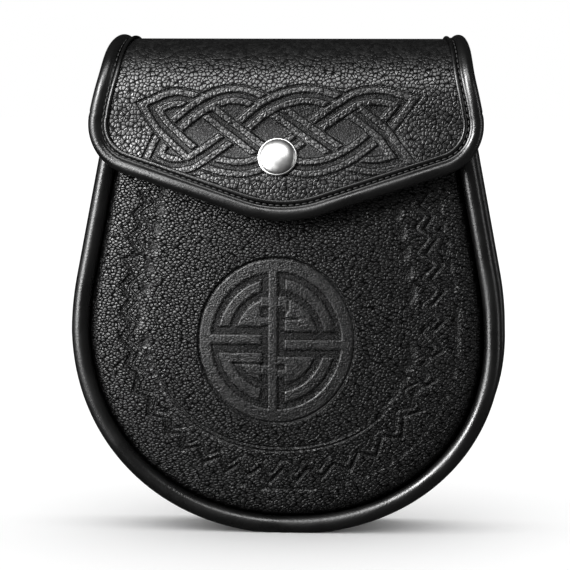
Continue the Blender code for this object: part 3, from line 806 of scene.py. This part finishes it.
TEETH = [
    (-56.8, 133.2), (-55.0, 129.5), (-59.8, 125.5), (-57.2, 120.3), (-61.6, 115.9),
    (-58.6, 110.7), (-63.5, 106.9), (-60.3, 101.7), (-64.7, 96.9), (-61.0, 91.9),
    (-65.3, 86.6), (-61.1, 81.6), (-64.9, 76.0), (-60.3, 71.4), (-63.0, 65.4),
    (-57.8, 61.5), (-59.9, 55.1), (-53.2, 53.0), (-54.0, 46.4), (-47.3, 45.0),
    (-46.1, 39.0), (-41.2, 39.1), (-40.0, 32.8), (-34.1, 34.2), (-31.4, 27.9),
    (-25.2, 30.3), (-22.8, 24.2), (-17.7, 27.6), (-13.7, 22.9), (-8.8, 26.6),
    (-5.2, 20.5), (-0.1, 25.9), (4.9, 20.6), (9.8, 26.3), (15.0, 22.3),
    (19.7, 28.1), (26.3, 25.6), (29.5, 32.8), (36.5, 31.0), (38.9, 38.9),
    (46.6, 38.5), (47.3, 47.0), (54.9, 49.4), (50.7, 55.8), (60.1, 61.5),
    (54.2, 67.5), (62.4, 72.8), (58.0, 79.7), (63.6, 85.1), (57.4, 89.7),
    (62.8, 96.0), (57.5, 100.7), (62.0, 106.1), (55.7, 110.6), (59.7, 116.5),
    (55.0, 120.2), (58.0, 125.4), (52.9, 129.2), (56.2, 134.0),
]  # fmt: skip


def inward(line, distance):
    """A line moved towards the pouch's middle."""
    middle = np.stack([np.zeros(len(line)), np.maximum(line[:, 1], WIDEST / MM)], axis=1)
    way = middle - line
    return line + way / np.hypot(*way.T)[:, None] * distance


def border(relief):
    """A zigzag cut with a vee tool, a fainter rounded one inside it, and fine lines, each with
    painted shade on its floor.
    """
    top = relief.points[:, 1] < 150
    teeth = np.array(TEETH)
    aside = np.array([-2.2, 0])
    # The last number of each line is the painted shade on its floor.
    for line, width, depth, dark in (
        (teeth, 1.3, 0.5, 1.0),
        (smooth_path(inward(teeth, 3.4), 5, closed=False), 0.8, 0.25, 0.5),
        (border_line(30.1, 33.6, 400) + aside, 0.8, 0.32, 0.6),
        (border_line(31.6, 35.1, 400) + aside, 0.8, 0.32, 0.6),
        (border_line(16.8, 18.2, 400)[180:], 0.7, 0.25, 0.5),
    ):
        gap = distance_to(relief.points, line)
        relief.groove(np.where(top, gap, np.inf), width, depth, dark)


def near_ornament(centres):
    """Which places on the panel lie in the medallion or the border, where faces are small."""
    x, z = centres.T / MM
    radius = np.hypot(x - MEDALLION_X, (z - MEDALLION_Z) * MEDALLION_WIDE / MEDALLION_TALL)
    inset = inset_of(centres[:, 0], centres[:, 1]) / MM
    low = step_between(110, 25, z)
    in_border = (inset > 17.8 + 1.5 * low) & (inset < 26 + 2 * low)
    in_lines = np.abs(inset - 30.8 - 3.5 * low + 2.2 * np.sign(x) * (1 - low)) < 1.8
    return (radius < 33) | ((in_border | in_lines) & (z < 142))


# %% Front panel
def lay_panel(flat):
    """Lays flat (x, z, depth) points on the panel's surface, with the ornaments' heights."""
    x, z, depth = flat.T
    step = 0.3 * MM
    slope_x = (panel_y(x + step, z) - panel_y(x - step, z)) / (2 * step)
    slope_z = (panel_y(x, z + step) - panel_y(x, z - step)) / (2 * step)
    slope_x, slope_z = np.clip(slope_x, -3, 3), np.clip(slope_z, -3, 3)
    out = np.stack([slope_x, -np.ones_like(x), slope_z], axis=1)
    out /= np.linalg.norm(out, axis=1)[:, None]
    relief = Relief(np.stack([x, z], axis=1) / MM)
    border(relief)
    medallion(relief)
    outer = depth > -0.1 * MM
    lift = depth + outer * relief.height * MM
    base = np.stack([x, panel_y(x, z), z], axis=1)
    # Painted shade in a band 1.5 to 4.2 mm wide along the panel's edge, in the gap beside the
    # piping, added to the ornaments' painted shade.
    from_edge = (1 - panel_nearness(x, z)) * BODY_WIDTH / 2
    shaded = np.maximum(relief.recess_shade, 1 - step_between(1.5 * MM, 4.2 * MM, from_edge))
    masks = {"pressed": relief.pressed * outer, "recess_shade": shaded * outer}
    return base + out * lift[:, None] + np.array(SHIFT), masks


panel_edge = np.stack([panel_x, panel_z], axis=1)[::4]
work = trimmed_sheet(panel_edge, 1.4 * MM, LEATHER, near_ornament)
front_panel = finish_mesh("front_panel_leather", work, lay_panel)
add_piece(front_panel, panel_leather, "grained_leather", "front_panel")

# %% [markdown]
# ## The flap
# The flap is one sheet too: a tab sewn to the back, the fold over the top and the pointed
# front. It is cut flat, with its height measured along the leather, and then bent. The
# sheet is a little stiff, so its profile is averaged over a few millimetres of its length,
# which rounds off the places where the fold meets the flat parts.

# %% Surface of the flap
CORNER_HALF, CORNER_HEIGHT, CORNER_RADIUS = 77.8 * MM, 160.6 * MM, 20 * MM
SIDE_SLOPE = math.radians(10)
POINT_HEIGHT, POINT_SLOPE, POINT_RADIUS = 123.6 * MM, math.radians(19.7), 53 * MM
FOLD_START, FOLD_TOP, FOLD_BACK = 165 * MM, 192.8 * MM, 172 * MM
CREST_SHARE, FLAP_CROWN, TAB_HEIGHT = 0.6, 9.8 * MM, 25 * MM
FLAP_SEAT = FRONT_CORD + 0.8 * MM + FLAP_CORD
FLAP_BACK = BACK_PLANE + LEATHER + SEAM
FOLD_ROWS = [(0, 1), (15, 0.98), (30, 0.959), (60, 0.93), (90, 0.896), (130, 0.87), (180, 0.852)]
CROWN_ROWS = [(0, 0.32), (0.15, 0.36), (0.35, 0.64), (0.6, 0.93), (0.8, 1), (1, 0.98)]


def smooth_curve(rows, place):
    """Reads a smooth curve through a table's (place, value) rows."""
    places, values = np.array(rows, dtype=float).T
    slopes = np.gradient(values, places)
    row = np.clip(np.searchsorted(places, place) - 1, 0, len(places) - 2)
    span = places[row + 1] - places[row]
    t = np.clip((place - places[row]) / span, 0, 1)
    start = values[row] * (1 + 2 * t) * (1 - t) ** 2 + slopes[row] * span * t * (1 - t) ** 2
    end = values[row + 1] * t**2 * (3 - 2 * t) + slopes[row + 1] * span * t**2 * (t - 1)
    return start + end


def side_half_width(z):
    tangent = CORNER_HEIGHT + CORNER_RADIUS * math.sin(SIDE_SLOPE)
    width = CORNER_HALF - CORNER_RADIUS * (1 - math.cos(SIDE_SLOPE))
    return np.where(z > tangent, width - (z - tangent) * math.tan(SIDE_SLOPE), CORNER_HALF)


def flap_y(x, z):
    drop = (FOLD_START - z) / (FOLD_START - POINT_HEIGHT)
    spread = np.clip(x / side_half_width(z), -1, 1)
    crown = FLAP_CROWN * smooth_curve(CROWN_ROWS, drop)
    return rim_front(z) - FLAP_SEAT - crown * (1 - spread**2)


def on_fold(x, turn):
    """(y, z) of the flap's middle at a turn round its fold, from 0 at its front to pi."""
    front = flap_y(x, FOLD_START)
    crest = front + (FLAP_BACK - front) * CREST_SHARE
    end = np.where(turn < math.pi / 2, front, FLAP_BACK)
    base = np.where(turn < math.pi / 2, FOLD_START, FOLD_BACK)
    y = crest + (end - crest) * np.abs(np.cos(turn))
    return y, base + (FOLD_TOP - base) * np.sin(turn)


fold_turns = np.linspace(0, math.pi, 400)
fold_steps = [np.diff(line) for line in on_fold(0, fold_turns)]
fold_runs = FOLD_START + np.r_[0, np.cumsum(np.hypot(*fold_steps))]
FOLD_END = fold_runs[-1]
TAB_END = FOLD_END + TAB_HEIGHT


def bent(x, run):
    """(y, z) of the flap's middle where its flat sheet is at x and at a height along it."""
    y, z = on_fold(x, np.interp(run, fold_runs, fold_turns))
    on_front, on_tab = run <= FOLD_START, run >= FOLD_END
    front = flap_y(x, np.minimum(run, FOLD_START))
    y = np.where(on_front, front, np.where(on_tab, FLAP_BACK, y))
    z = np.where(on_front, run, np.where(on_tab, FOLD_BACK - (run - FOLD_END), z))
    return y, z


print("the fold takes %.1f mm of leather" % ((FOLD_END - FOLD_START) / MM))


def flap_middle(x, run):
    """The middle of the flap's leather in 3D, averaged over a few millimetres of its length."""
    x, run = np.broadcast_arrays(np.asarray(x, float), np.asarray(run, float))
    steps = np.linspace(-7, 7, 15) * MM
    weights = np.exp(-0.5 * (steps / (3 * MM)) ** 2)
    weights /= weights.sum()
    stay = np.clip((TAB_END - 6 * MM - run) / (8 * MM), 0, 1)
    y, z = 0, 0
    for step, weight in zip(steps, weights):
        some_y, some_z = bent(x, run + step * stay)
        y, z = y + some_y * weight, z + some_z * weight
    return np.stack([x, y, z], axis=-1)


def flap_normal(x, run):
    step = 0.3 * MM
    across = flap_middle(x + step, run) - flap_middle(x - step, run)
    along = flap_middle(x, run + step) - flap_middle(x, run - step)
    out = np.cross(across, along)
    return out / np.linalg.norm(out, axis=-1)[..., None]


# %% Outline of the flap
def flap_half_width(run):
    """Half the flat flap's width outside its piping, above its corners."""
    turn = np.degrees(np.interp(run, fold_runs, fold_turns))
    folded = side_half_width(FOLD_START) * smooth_curve(FOLD_ROWS, turn)
    return np.where(run < FOLD_START, side_half_width(np.minimum(run, FOLD_START)), folded)


def arc(centre, radius, start, end, count):
    angles = np.linspace(start, end, count)
    return np.array(centre) + radius * np.stack([np.cos(angles), np.sin(angles)], axis=1)


def flap_right_edge(inset, top):
    """The flat flap's right edge, from a height on its back down to its point."""
    down = POINT_SLOPE - math.pi / 2
    corner = (CORNER_HALF - CORNER_RADIUS, CORNER_HEIGHT)
    turn = arc(corner, CORNER_RADIUS - inset, SIDE_SLOPE, down, 24)
    tip = arc((0, POINT_HEIGHT + POINT_RADIUS), POINT_RADIUS - inset, down, -math.pi / 2, 12)
    runs = np.linspace(top, turn[0, 1], 60, endpoint=False)
    side = np.stack([flap_half_width(runs) - inset, runs], axis=1)
    side[:, 0] += (turn[0, 0] - (flap_half_width(turn[0, 1]) - inset)) * (runs < FOLD_START)
    return np.concatenate([side, turn, tip])


def flap_edge(inset, top, count=None):
    """The flat flap's edge from its back left round its point to its back right."""
    right = flap_right_edge(inset, top)
    whole = np.concatenate([right[:-1] * (-1, 1), right[::-1]])
    return np.stack(evenly(*whole.T, count), axis=1) if count else whole


# %% Knot
STRAND, EDGE_GROOVE = 3.7, 4.25
KNOT_PLACE = np.array([-1.4, -1.8])
KNOT_NODES = {
    "t1": (-31.1, 169.6), "t2": (-4.6, 169.8), "t3": (25.0, 169.8),
    "m0": (-43.9, 159.2), "m1": (-17.6, 159.4), "m2": (10.6, 159.6), "m3": (38.9, 159.9),
    "b1": (-31.5, 149.4), "b2": (-3.0, 149.5), "b3": (25.5, 149.7),
}  # fmt: skip
ARCHES = {
    "a2": (-18.3, 174.0), "a3": (10.1, 174.0), "c2": (-15.8, 145.5), "c3": (11.4, 145.7),
}  # fmt: skip
UL = [(-37.5, 172.3), (-43.5, 172.2), (-51.2, 168.9), (-51.2, 168.9), (-48.6, 164.6)]
LL = [(-47.3, 154.6), (-49.8, 149.2), (-49.8, 149.2), (-42.7, 146.7), (-36.8, 147.0)]
UR = [(31.5, 172.9), (39.5, 173.5), (48.4, 171.2), (48.4, 171.2), (44.2, 165.6)]
LR = [(43.0, 154.9), (47.6, 149.0), (47.6, 149.0), (38.5, 146.7), (31.0, 147.3)]


def named(*names):
    return [{**KNOT_NODES, **ARCHES}[name] for name in names]


strand_one = named("m0", "t1", "a2", "t2", "m2", "b3") + LR[::-1]
strand_one = smooth_path(strand_one + named("m3", "t3", "a3", "t2", "m1", "b1") + LL[::-1])
strand_two = named("m0", "b1", "c2", "b2", "m2", "t3") + UR
strand_two = smooth_path(strand_two + named("m3", "b3", "c3", "b2", "m1", "t1") + UL)
contour = np.array(
    [(-56, 171), (-43.6, 176.2), (-31.3, 174.3), (-18, 177.7), (-5, 174.3), (10.1, 177.7)]
    + [(24.8, 175), (40, 177.2), (53.1, 173.5), (44.7, 161), (52.1, 146.2), (36.5, 143)]
    + [(25.7, 145.4), (11.4, 141.9), (-2.5, 144.5), (-15.6, 141.7), (-31.3, 145), (-42.4, 143)]
    + [(-53.9, 146.2), (-47.5, 157.7)]
)


def corner_distance(points, distance, corner, before, after):
    """Keeps a strand's outer edge pointed at a sharp corner."""
    corner, before, after = (np.array(p, dtype=float) for p in (corner, before, after))
    u, v = corner - before, after - corner
    u, v = u / np.hypot(*u), v / np.hypot(*v)
    gap = points - corner
    outside = (gap @ u > 0) & (gap @ v < 0) & (np.hypot(*gap.T) < 9)
    sharp = np.maximum(np.abs(gap @ (-u[1], u[0])), np.abs(gap @ (-v[1], v[0])))
    return np.where(outside, np.maximum(sharp, 0), distance)


def paint_strand(relief, distance):
    """A double band: two raised edges, an incised line outside each and a valley between, with
    painted shade in the lines and the valley.
    """
    on = 1 - step_between(EDGE_GROOVE - 0.25, EDGE_GROOVE + 0.05, distance)
    top = step_between(0.75, 1.15, distance)
    top = top * (1 - step_between(STRAND - 0.35, STRAND + 0.1, distance))
    height = -0.55 + 0.65 * top
    relief.lay(on, height, 1 - 0.75 * top, (1 - top) * 0.8)


def knot(relief):
    points = relief.points - KNOT_PLACE
    near = np.flatnonzero(np.all((points > (-62, 137)) & (points < (60, 182)), axis=1))
    part = Relief(points[near])
    some = part.points
    inside = within(some, contour)
    # The sunk place inside the knot's contour gets painted shade of 0.7.
    part.lay(inside.astype(float), -0.6, 1.0, 0.7)
    one = distance_to(some, strand_one, closed=True)
    two = distance_to(some, strand_two, closed=True)
    for corner, before, after in ((UL[2], UL[1], UL[4]), (UR[2], UR[1], UR[4])):
        two = corner_distance(some, two, corner, before, after)
    for corner, before, after in ((LL[1], LL[0], LL[3]), (LR[1], LR[0], LR[3])):
        one = corner_distance(some, one, corner, before, after)
    paint_strand(part, one)
    paint_strand(part, two)
    passes = [(strand_two, "m0"), (strand_one, "t1"), (strand_two, "m1"), (strand_one, "m2")]
    passes += [(strand_one, "m3"), (strand_one, "b1"), (strand_two, "b3"), (strand_two, "t3")]
    passes += [(strand_one, "t2"), (strand_two, "b2")]
    for strand, name in passes:
        row = crossing_row(strand, name)
        over = np.take(strand, range(row - 7, row + 8), axis=0, mode="wrap")
        paint_strand(part, distance_to(some, over, square_ends=True))
    relief.height[near], relief.pressed[near] = part.height, part.pressed
    relief.recess_shade[near] = part.recess_shade


def crossing_row(strand, name):
    """The row of a strand's line where it is on top at a crossing.

    The stretch that is on top rises to the right at the outer crossings, and falls at the
    middle ones."""
    close = np.flatnonzero(np.hypot(*(strand - np.array(KNOT_NODES[name])).T) < 0.3)
    for row in close:
        ahead = strand[(row + 1) % len(strand)] - strand[row - 1]
        if (ahead[0] * ahead[1] > 0) == (name[0] != "m"):
            return int(row)
    return int(close[0])


def near_knot(centres):
    x, run = centres.T / MM
    return (x > -60) & (x < 55) & (run > 137.5) & (run < 178.5)


# %% Flap
def lay_flap(flat):
    x, run, depth = flat.T
    out = flap_normal(x, run)
    relief = Relief(np.stack([x, run], axis=1) / MM)
    knot(relief)
    turn = np.degrees(np.interp(run, fold_runs, fold_turns))
    stretched = 0.8 * step_between(36, 60, turn) * (1 - step_between(120, 150, turn))
    relief.pressed = np.maximum(relief.pressed, stretched)
    outer = depth > -0.1 * MM
    lift = LEATHER / 2 + depth + outer * relief.height * MM
    masks = {"pressed": relief.pressed * outer, "recess_shade": relief.recess_shade * outer}
    return flap_middle(x, run) + out * lift[:, None] + np.array(SHIFT), masks


work = trimmed_sheet(flap_edge(2 * FLAP_CORD + SEAM, TAB_END), 1.3 * MM, LEATHER, near_knot)
flap = finish_mesh("flap_leather", work, lay_flap)
add_piece(flap, flap_leather, "grained_leather", "flap")

# %% [markdown]
# ## Piping
# The fat round edges are cords wrapped in thin smooth leather. A short strip of the wrap,
# the welt, lies on the flap and is stitched down in the valley beside the cord. Each edge
# is one cross-section drawn from station to station.


# %% Stations along the body's rim
def rim_stations(inset, top, depth_at, count):
    """(middle, out, face) stations round the body's rim, at an inset from its outline."""
    across, up = rim_line(inset, top, count)
    middles = [Vector((x, depth_at(z), z)) + SHIFT for x, z in zip(across, up)]
    stations = []
    for number, middle in enumerate(middles):
        before, after = middles[max(number - 1, 0)], middles[min(number + 1, count - 1)]
        along = (after - before).normalized()
        face = Vector((0, -1, 0))
        face = (face - along * face.dot(along)).normalized()
        out = along.cross(face).normalized()
        stations.append((middle, out, face))
    return stations


def round_section(radius, sides):
    turns = [2 * math.pi * k / sides for k in range(sides)]
    return [(radius * math.cos(t), radius * math.sin(t)) for t in turns]


def press_to_floor(work):
    for vertex in work.verts:
        vertex.co.z = max(vertex.co.z, 0)
    return work


# %% Body piping
for name, radius, depth_at in (
    ("front_piping", FRONT_CORD, rim_front),
    ("back_piping", BACK_CORD, lambda z: BACK_PLANE),
):
    stations = rim_stations(radius, RIM_TOP, depth_at, 240)
    work = press_to_floor(sweep(round_section(radius, 28), stations))
    piece = finish_mesh(name + "_cord", work)
    add_piece(piece, piping_leather, "smooth_leather", name)


# %% Flap piping
def flap_stations(inset, top, count):
    """(middle, out, face) stations along the flap's edge, at an inset from it."""
    edge = flap_edge(inset, top, count)
    middles = flap_middle(*edge.T)
    faces = flap_normal(*edge.T)
    along = np.gradient(middles, axis=0)
    along /= np.linalg.norm(along, axis=1)[:, None]
    outs = np.cross(along, faces)
    outs /= np.linalg.norm(outs, axis=1)[:, None]
    return [
        (Vector(m) + SHIFT, Vector(o), Vector(f)) for m, o, f in zip(middles, outs, faces)
    ]


UNDER = LEATHER / 2 + SEAM
WELT_TOP = UNDER + 0.8 * MM


def piping_section(radius):
    """The cord, the stitched valley and the raised welt, as (out, face) points; a third value
    paints shade in the valley, on the welt's outer side and under it.
    """
    start, end = math.asin(1.75 * MM / radius), math.asin(UNDER / radius)
    sweep_angles = np.linspace(end - math.pi, math.pi - start, 30)
    cord = [(radius * math.cos(a), radius * math.sin(a)) for a in sweep_angles]
    # The third number in each point is painted shade.
    valley = [(-2.75, 1.66, 1), (-3.1, 1.62, 1), (-3.45, 1.66, 1), (-3.7, 1.85, 0.8)]
    ridge = [(-3.95, 2.12, 0), (-4.3, 2.3, 0), (-4.7, 2.32, 0), (-5.1, 2.2, 0.3)]
    ridge += [(-5.35, 1.9, 1), (-5.4, 1.5, 1)]
    under = [(-radius * math.cos(end), UNDER, 1)]
    return cord + [(a * MM, b * MM, dark) for a, b, dark in valley + ridge] + under


stations = flap_stations(FLAP_CORD, FOLD_START + (FOLD_END - FOLD_START) * 0.92, 320)
work = sweep(piping_section(FLAP_CORD), stations)
flap_piping = finish_mesh("flap_piping_cord", work)
add_piece(flap_piping, piping_leather, "smooth_leather", "flap_piping")

# %% [markdown]
# ## Gusset and back
# The gusset is one long band between the two pipings. It pulls in a little along its middle
# and puckers where it goes round the bottom. The back is a plain flat panel.


# %% Gusset
GUSSET_INSET, GUSSET_TOP, GUSSET_STATIONS = 1.9 * MM, RIM_TOP - 0.4 * MM, 300
GUSSET_SAG, UNDER_CORD = 1.7 * MM, 0.86


def gusset_span(height):
    """(front edge, back edge) of the band, each a little under its cord."""
    return rim_front(height) + UNDER_CORD * FRONT_CORD, BACK_PLANE - UNDER_CORD * BACK_CORD


def gusset_section(number):
    """The band's cross-section at a station, as (out, towards the front) points."""
    height = gusset_heights[number]
    near, far = gusset_span(height)
    half = (far - near) / 2
    turning = step_between(70 * MM, 30 * MM, height)
    ring = []
    for share in np.linspace(-1, 1, 17):
        sag = (1 - share * share) * GUSSET_SAG
        pucker = math.sin(number * 0.86) + 0.5 * math.sin(number * 0.37 + 2 * share)
        sag += (0.10 + 0.16 * turning) * MM * pucker * (1 - share * share)
        ring.append((-sag, -share * half))
    inner = [(a - 2 * MM, b * 0.97) for a, b in ring[::-2]]
    return ring + inner


_, gusset_heights = rim_line(GUSSET_INSET, GUSSET_TOP, GUSSET_STATIONS)
stations = []
for middle, out, _ in rim_stations(GUSSET_INSET, GUSSET_TOP, lambda z: 0.0, GUSSET_STATIONS):
    centre = Vector((0, sum(gusset_span(middle.z)) / 2, 0))
    stations.append((middle + centre, out, Vector((0, -1, 0))))
work = press_to_floor(sweep(gusset_section, stations))
gusset = finish_mesh("gusset_band", work)
gusset_leather = smooth_leather("gusset_leather", colour=0.006, gloss=0.42, depth=0.00014)
add_piece(gusset, gusset_leather, "grained_leather", "gusset")


# %% Back panel
BACK_INSET = 2 * BACK_CORD - 0.4 * MM


def lay_back(flat):
    """Lays the mirrored flat sheet on the back, slightly full in the middle."""
    x, z, depth = flat.T
    inset = inset_of(-x, z) - BACK_INSET
    round_edge = 0.5 * MM * (1 - step_between(0, 2.5 * MM, inset))
    y = BACK_PLANE + LEATHER / 2 + depth - round_edge * (depth > -0.1 * MM)
    laid = np.stack([-x, y, z], axis=1) + np.array(SHIFT)
    return laid, {"pressed": np.zeros(len(x)), "recess_shade": np.zeros(len(x))}


back_x, back_z = rim_line(BACK_INSET, RIM_TOP, 500)
back_edge = np.stack([-back_x, back_z], axis=1)[::-1]
work = trimmed_sheet(back_edge, 2.4 * MM, LEATHER)
back = finish_mesh("back_panel_leather", work, lay_back)
add_piece(back, back_leather, "grained_leather", "back_panel")

# %% [markdown]
# ## Belt loops
# A leather keeper on each side of the back takes the sporran strap. Each is a strip with
# rounded edges, sewn down at both ends, that stands off in between.

# %% Belt loops
LOOP_SPACING, LOOP_WIDTH, LOOP_BASE = 74 * MM, 22 * MM, 84 * MM
LOOP_END, LOOP_SLOT, LOOP_RAMP, LOOP_STAND = 9 * MM, 38 * MM, 4 * MM, 5.5 * MM

lie = BACK_PLANE + LEATHER + SEAM
stops = [(0, lie), (LOOP_END, lie), (LOOP_END + LOOP_RAMP, lie + LOOP_STAND)]
stops += [(LOOP_END + LOOP_SLOT - LOOP_RAMP, lie + LOOP_STAND), (LOOP_END + LOOP_SLOT, lie)]
stops += [(2 * LOOP_END + LOOP_SLOT, lie)]
loop_line = np.stack(evenly(*np.array(stops).T, 90), axis=1)
for _ in range(10):
    loop_line[1:-1] = (loop_line[:-2] + 2 * loop_line[1:-1] + loop_line[2:]) / 4


def strip_section(width, thickness):
    """A flat strip's cross-section with rounded edges."""
    bend = 0.8 * MM
    half, rise = width / 2 - bend, thickness / 2 - bend
    ring = []
    for side_x, side_y, start in ((1, -1, -90), (1, 1, 0), (-1, 1, 90), (-1, -1, 180)):
        for turn in np.radians(np.linspace(start, start + 90, 5)):
            x, y = side_x * half + bend * math.cos(turn), side_y * rise + bend * math.sin(turn)
            ring.append((x, y))
    return ring


loop_stations = {}
for name, side in (("left", -1), ("right", 1)):
    stations = []
    for (z, y), (dz, dy) in zip(loop_line, np.gradient(loop_line, axis=0)):
        face = Vector((0, dz, -dy)).normalized()
        middle = Vector((side * LOOP_SPACING / 2, y, LOOP_BASE + z)) + SHIFT
        stations.append((middle, Vector((1, 0, 0)), face))
    loop_stations[name] = stations
    work = sweep(strip_section(LOOP_WIDTH, LEATHER), stations)
    loop = finish_mesh("belt_loop_strip_" + name, work)
    add_piece(loop, gusset_leather, "grained_leather", "belt_loop_" + name)

# %% [markdown]
# ## Snap
# The snap's cap is a satin dome with a rolled rim. Its profile is spun round the axis that
# stands square on the flap.

# %% Snap
SNAP_PLACE = (-2.1 * MM, 147.8 * MM)
CAP_RADIUS, CAP_RISE, ROLL, SHANK = 7.75 * MM, 3.0 * MM, 1.0 * MM, 2 * MM

snap_middle = Vector(flap_middle(*SNAP_PLACE)) + SHIFT
snap_out = Vector(flap_normal(*SNAP_PLACE))
snap_turn = snap_out.to_track_quat("Z", "Y").to_matrix().to_4x4()
snap_turn = Matrix.Translation(snap_middle) @ snap_turn


def spun(name, profile, turn):
    """A profile of (radius, height) spun round the Z axis, then put in its place."""
    work = bmesh.new()
    chain = [work.verts.new((radius, 0, height)) for radius, height in profile]
    for first, second in zip(chain, chain[1:]):
        work.edges.new((first, second))
    bmesh.ops.spin(
        work,
        geom=work.verts[:] + work.edges[:],
        axis=(0, 0, 1),
        cent=(0, 0, 0),
        steps=96,
        angle=2 * math.pi,
        use_merge=True,
    )
    bmesh.ops.remove_doubles(work, verts=work.verts, dist=0.001 * MM)
    bmesh.ops.recalc_face_normals(work, faces=work.faces)
    bmesh.ops.transform(work, verts=work.verts, matrix=turn)
    return finish_mesh(name, work)


foot = LEATHER / 2 + 0.05 * MM
roll = [
    (CAP_RADIUS - ROLL / 2 + ROLL / 2 * math.cos(a), foot + ROLL / 2 + ROLL / 2 * math.sin(a))
    for a in np.radians(np.linspace(-90, 100, 14))
]
ball = CAP_RADIUS - ROLL * 0.62
crown = [
    (ball * math.cos(a), foot + ROLL * 0.8 + (CAP_RISE - ROLL * 0.8) * math.sin(a))
    for a in np.radians(np.linspace(6, 88, 22))
]
profile = [(0, -LEATHER / 2), (SHANK, -LEATHER / 2), (SHANK, foot), *roll, *crown]
profile.append((0, foot + CAP_RISE))
snap_cap = spun("snap_cap_dome", profile, snap_turn)
add_piece(snap_cap, nickel, "satin_nickel", "snap_cap")
snap_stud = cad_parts["snap_stud"]
snap_stud.data.materials.clear()
snap_stud.data.materials.append(nickel)

# %% [markdown]
# ## Stitches
# Each stitch is one short fat thread that dips into the leather at both ends. There are
# hundreds, so each has only a few faces.


# %% Stitches
thread = smooth_leather("black_thread", colour=0.008, gloss=0.6, depth=0.00005)


def stitch_row(name, places, length, width):
    """Stitches at (middle, along, face) places, joined in one piece."""
    work = bmesh.new()
    size = Matrix.Diagonal((length / 2, width / 2, width / 2, 1))
    lying = size @ Matrix.Rotation(math.pi / 2, 4, "Y")
    for middle, along, face in places:
        across = along.cross(face).normalized()
        turned = Matrix((along, across, face)).transposed().to_4x4()
        stitch = Matrix.Translation(middle) @ turned @ lying
        bmesh.ops.create_uvsphere(work, u_segments=6, v_segments=6, radius=1, matrix=stitch)
    add_piece(finish_mesh(name, work), thread, "smooth_leather")


def places_along(points, faces, pitch):
    """Evenly spaced (middle, along, face) places on a 3D line."""
    points, faces = np.array(points), np.array(faces)
    run = np.r_[0, np.cumsum(np.linalg.norm(np.diff(points, axis=0), axis=1))]
    places = []
    for mark in np.arange(pitch / 2, run[-1], pitch):
        spot, before, after, face = (
            np.array([np.interp(mark + step, run, row[:, axis]) for axis in range(3)])
            for row, step in ((points, 0), (points, -0.4 * MM), (points, 0.4 * MM), (faces, 0))
        )
        along = Vector(after - before).normalized()
        face = Vector(face)
        face = (face - along * face.dot(along)).normalized()
        places.append((Vector(spot), along, face))
    return places


welt = flap_stations(FLAP_CORD + 3.15 * MM, FOLD_START + (FOLD_END - FOLD_START) * 0.5, 400)
valley = [tuple(middle + face * 1.78 * MM) for middle, out, face in welt]
places = places_along(valley, [tuple(face) for _, _, face in welt], 2.6 * MM)
stitch_row("flap_stitches", places, 2.1 * MM, 0.62 * MM)

tab_run = TAB_END - 3.5 * MM
tab_half = float(flap_half_width(np.array(tab_run))) - 2 * FLAP_CORD - SEAM - 4 * MM
tab_x = np.linspace(-tab_half, tab_half, 60)
tab_faces = flap_normal(tab_x, np.full(60, tab_run))
tab_points = flap_middle(tab_x, np.full(60, tab_run)) + tab_faces * 1.28 * MM + np.array(SHIFT)
stitch_row("tab_stitches", places_along(tab_points, tab_faces, 3.4 * MM), 2.6 * MM, 0.7 * MM)

for name, stations in loop_stations.items():
    places = []
    for near_row in (4, 9, 80, 85):
        middle, out, face = stations[near_row]
        line = [tuple(middle + out * (k * MM) + face * 1.22 * MM) for k in (-9, 0, 9)]
        places += places_along(line, [tuple(face)] * 3, 3.0 * MM)
    stitch_row("belt_loop_stitches_" + name, places, 2.3 * MM, 0.65 * MM)
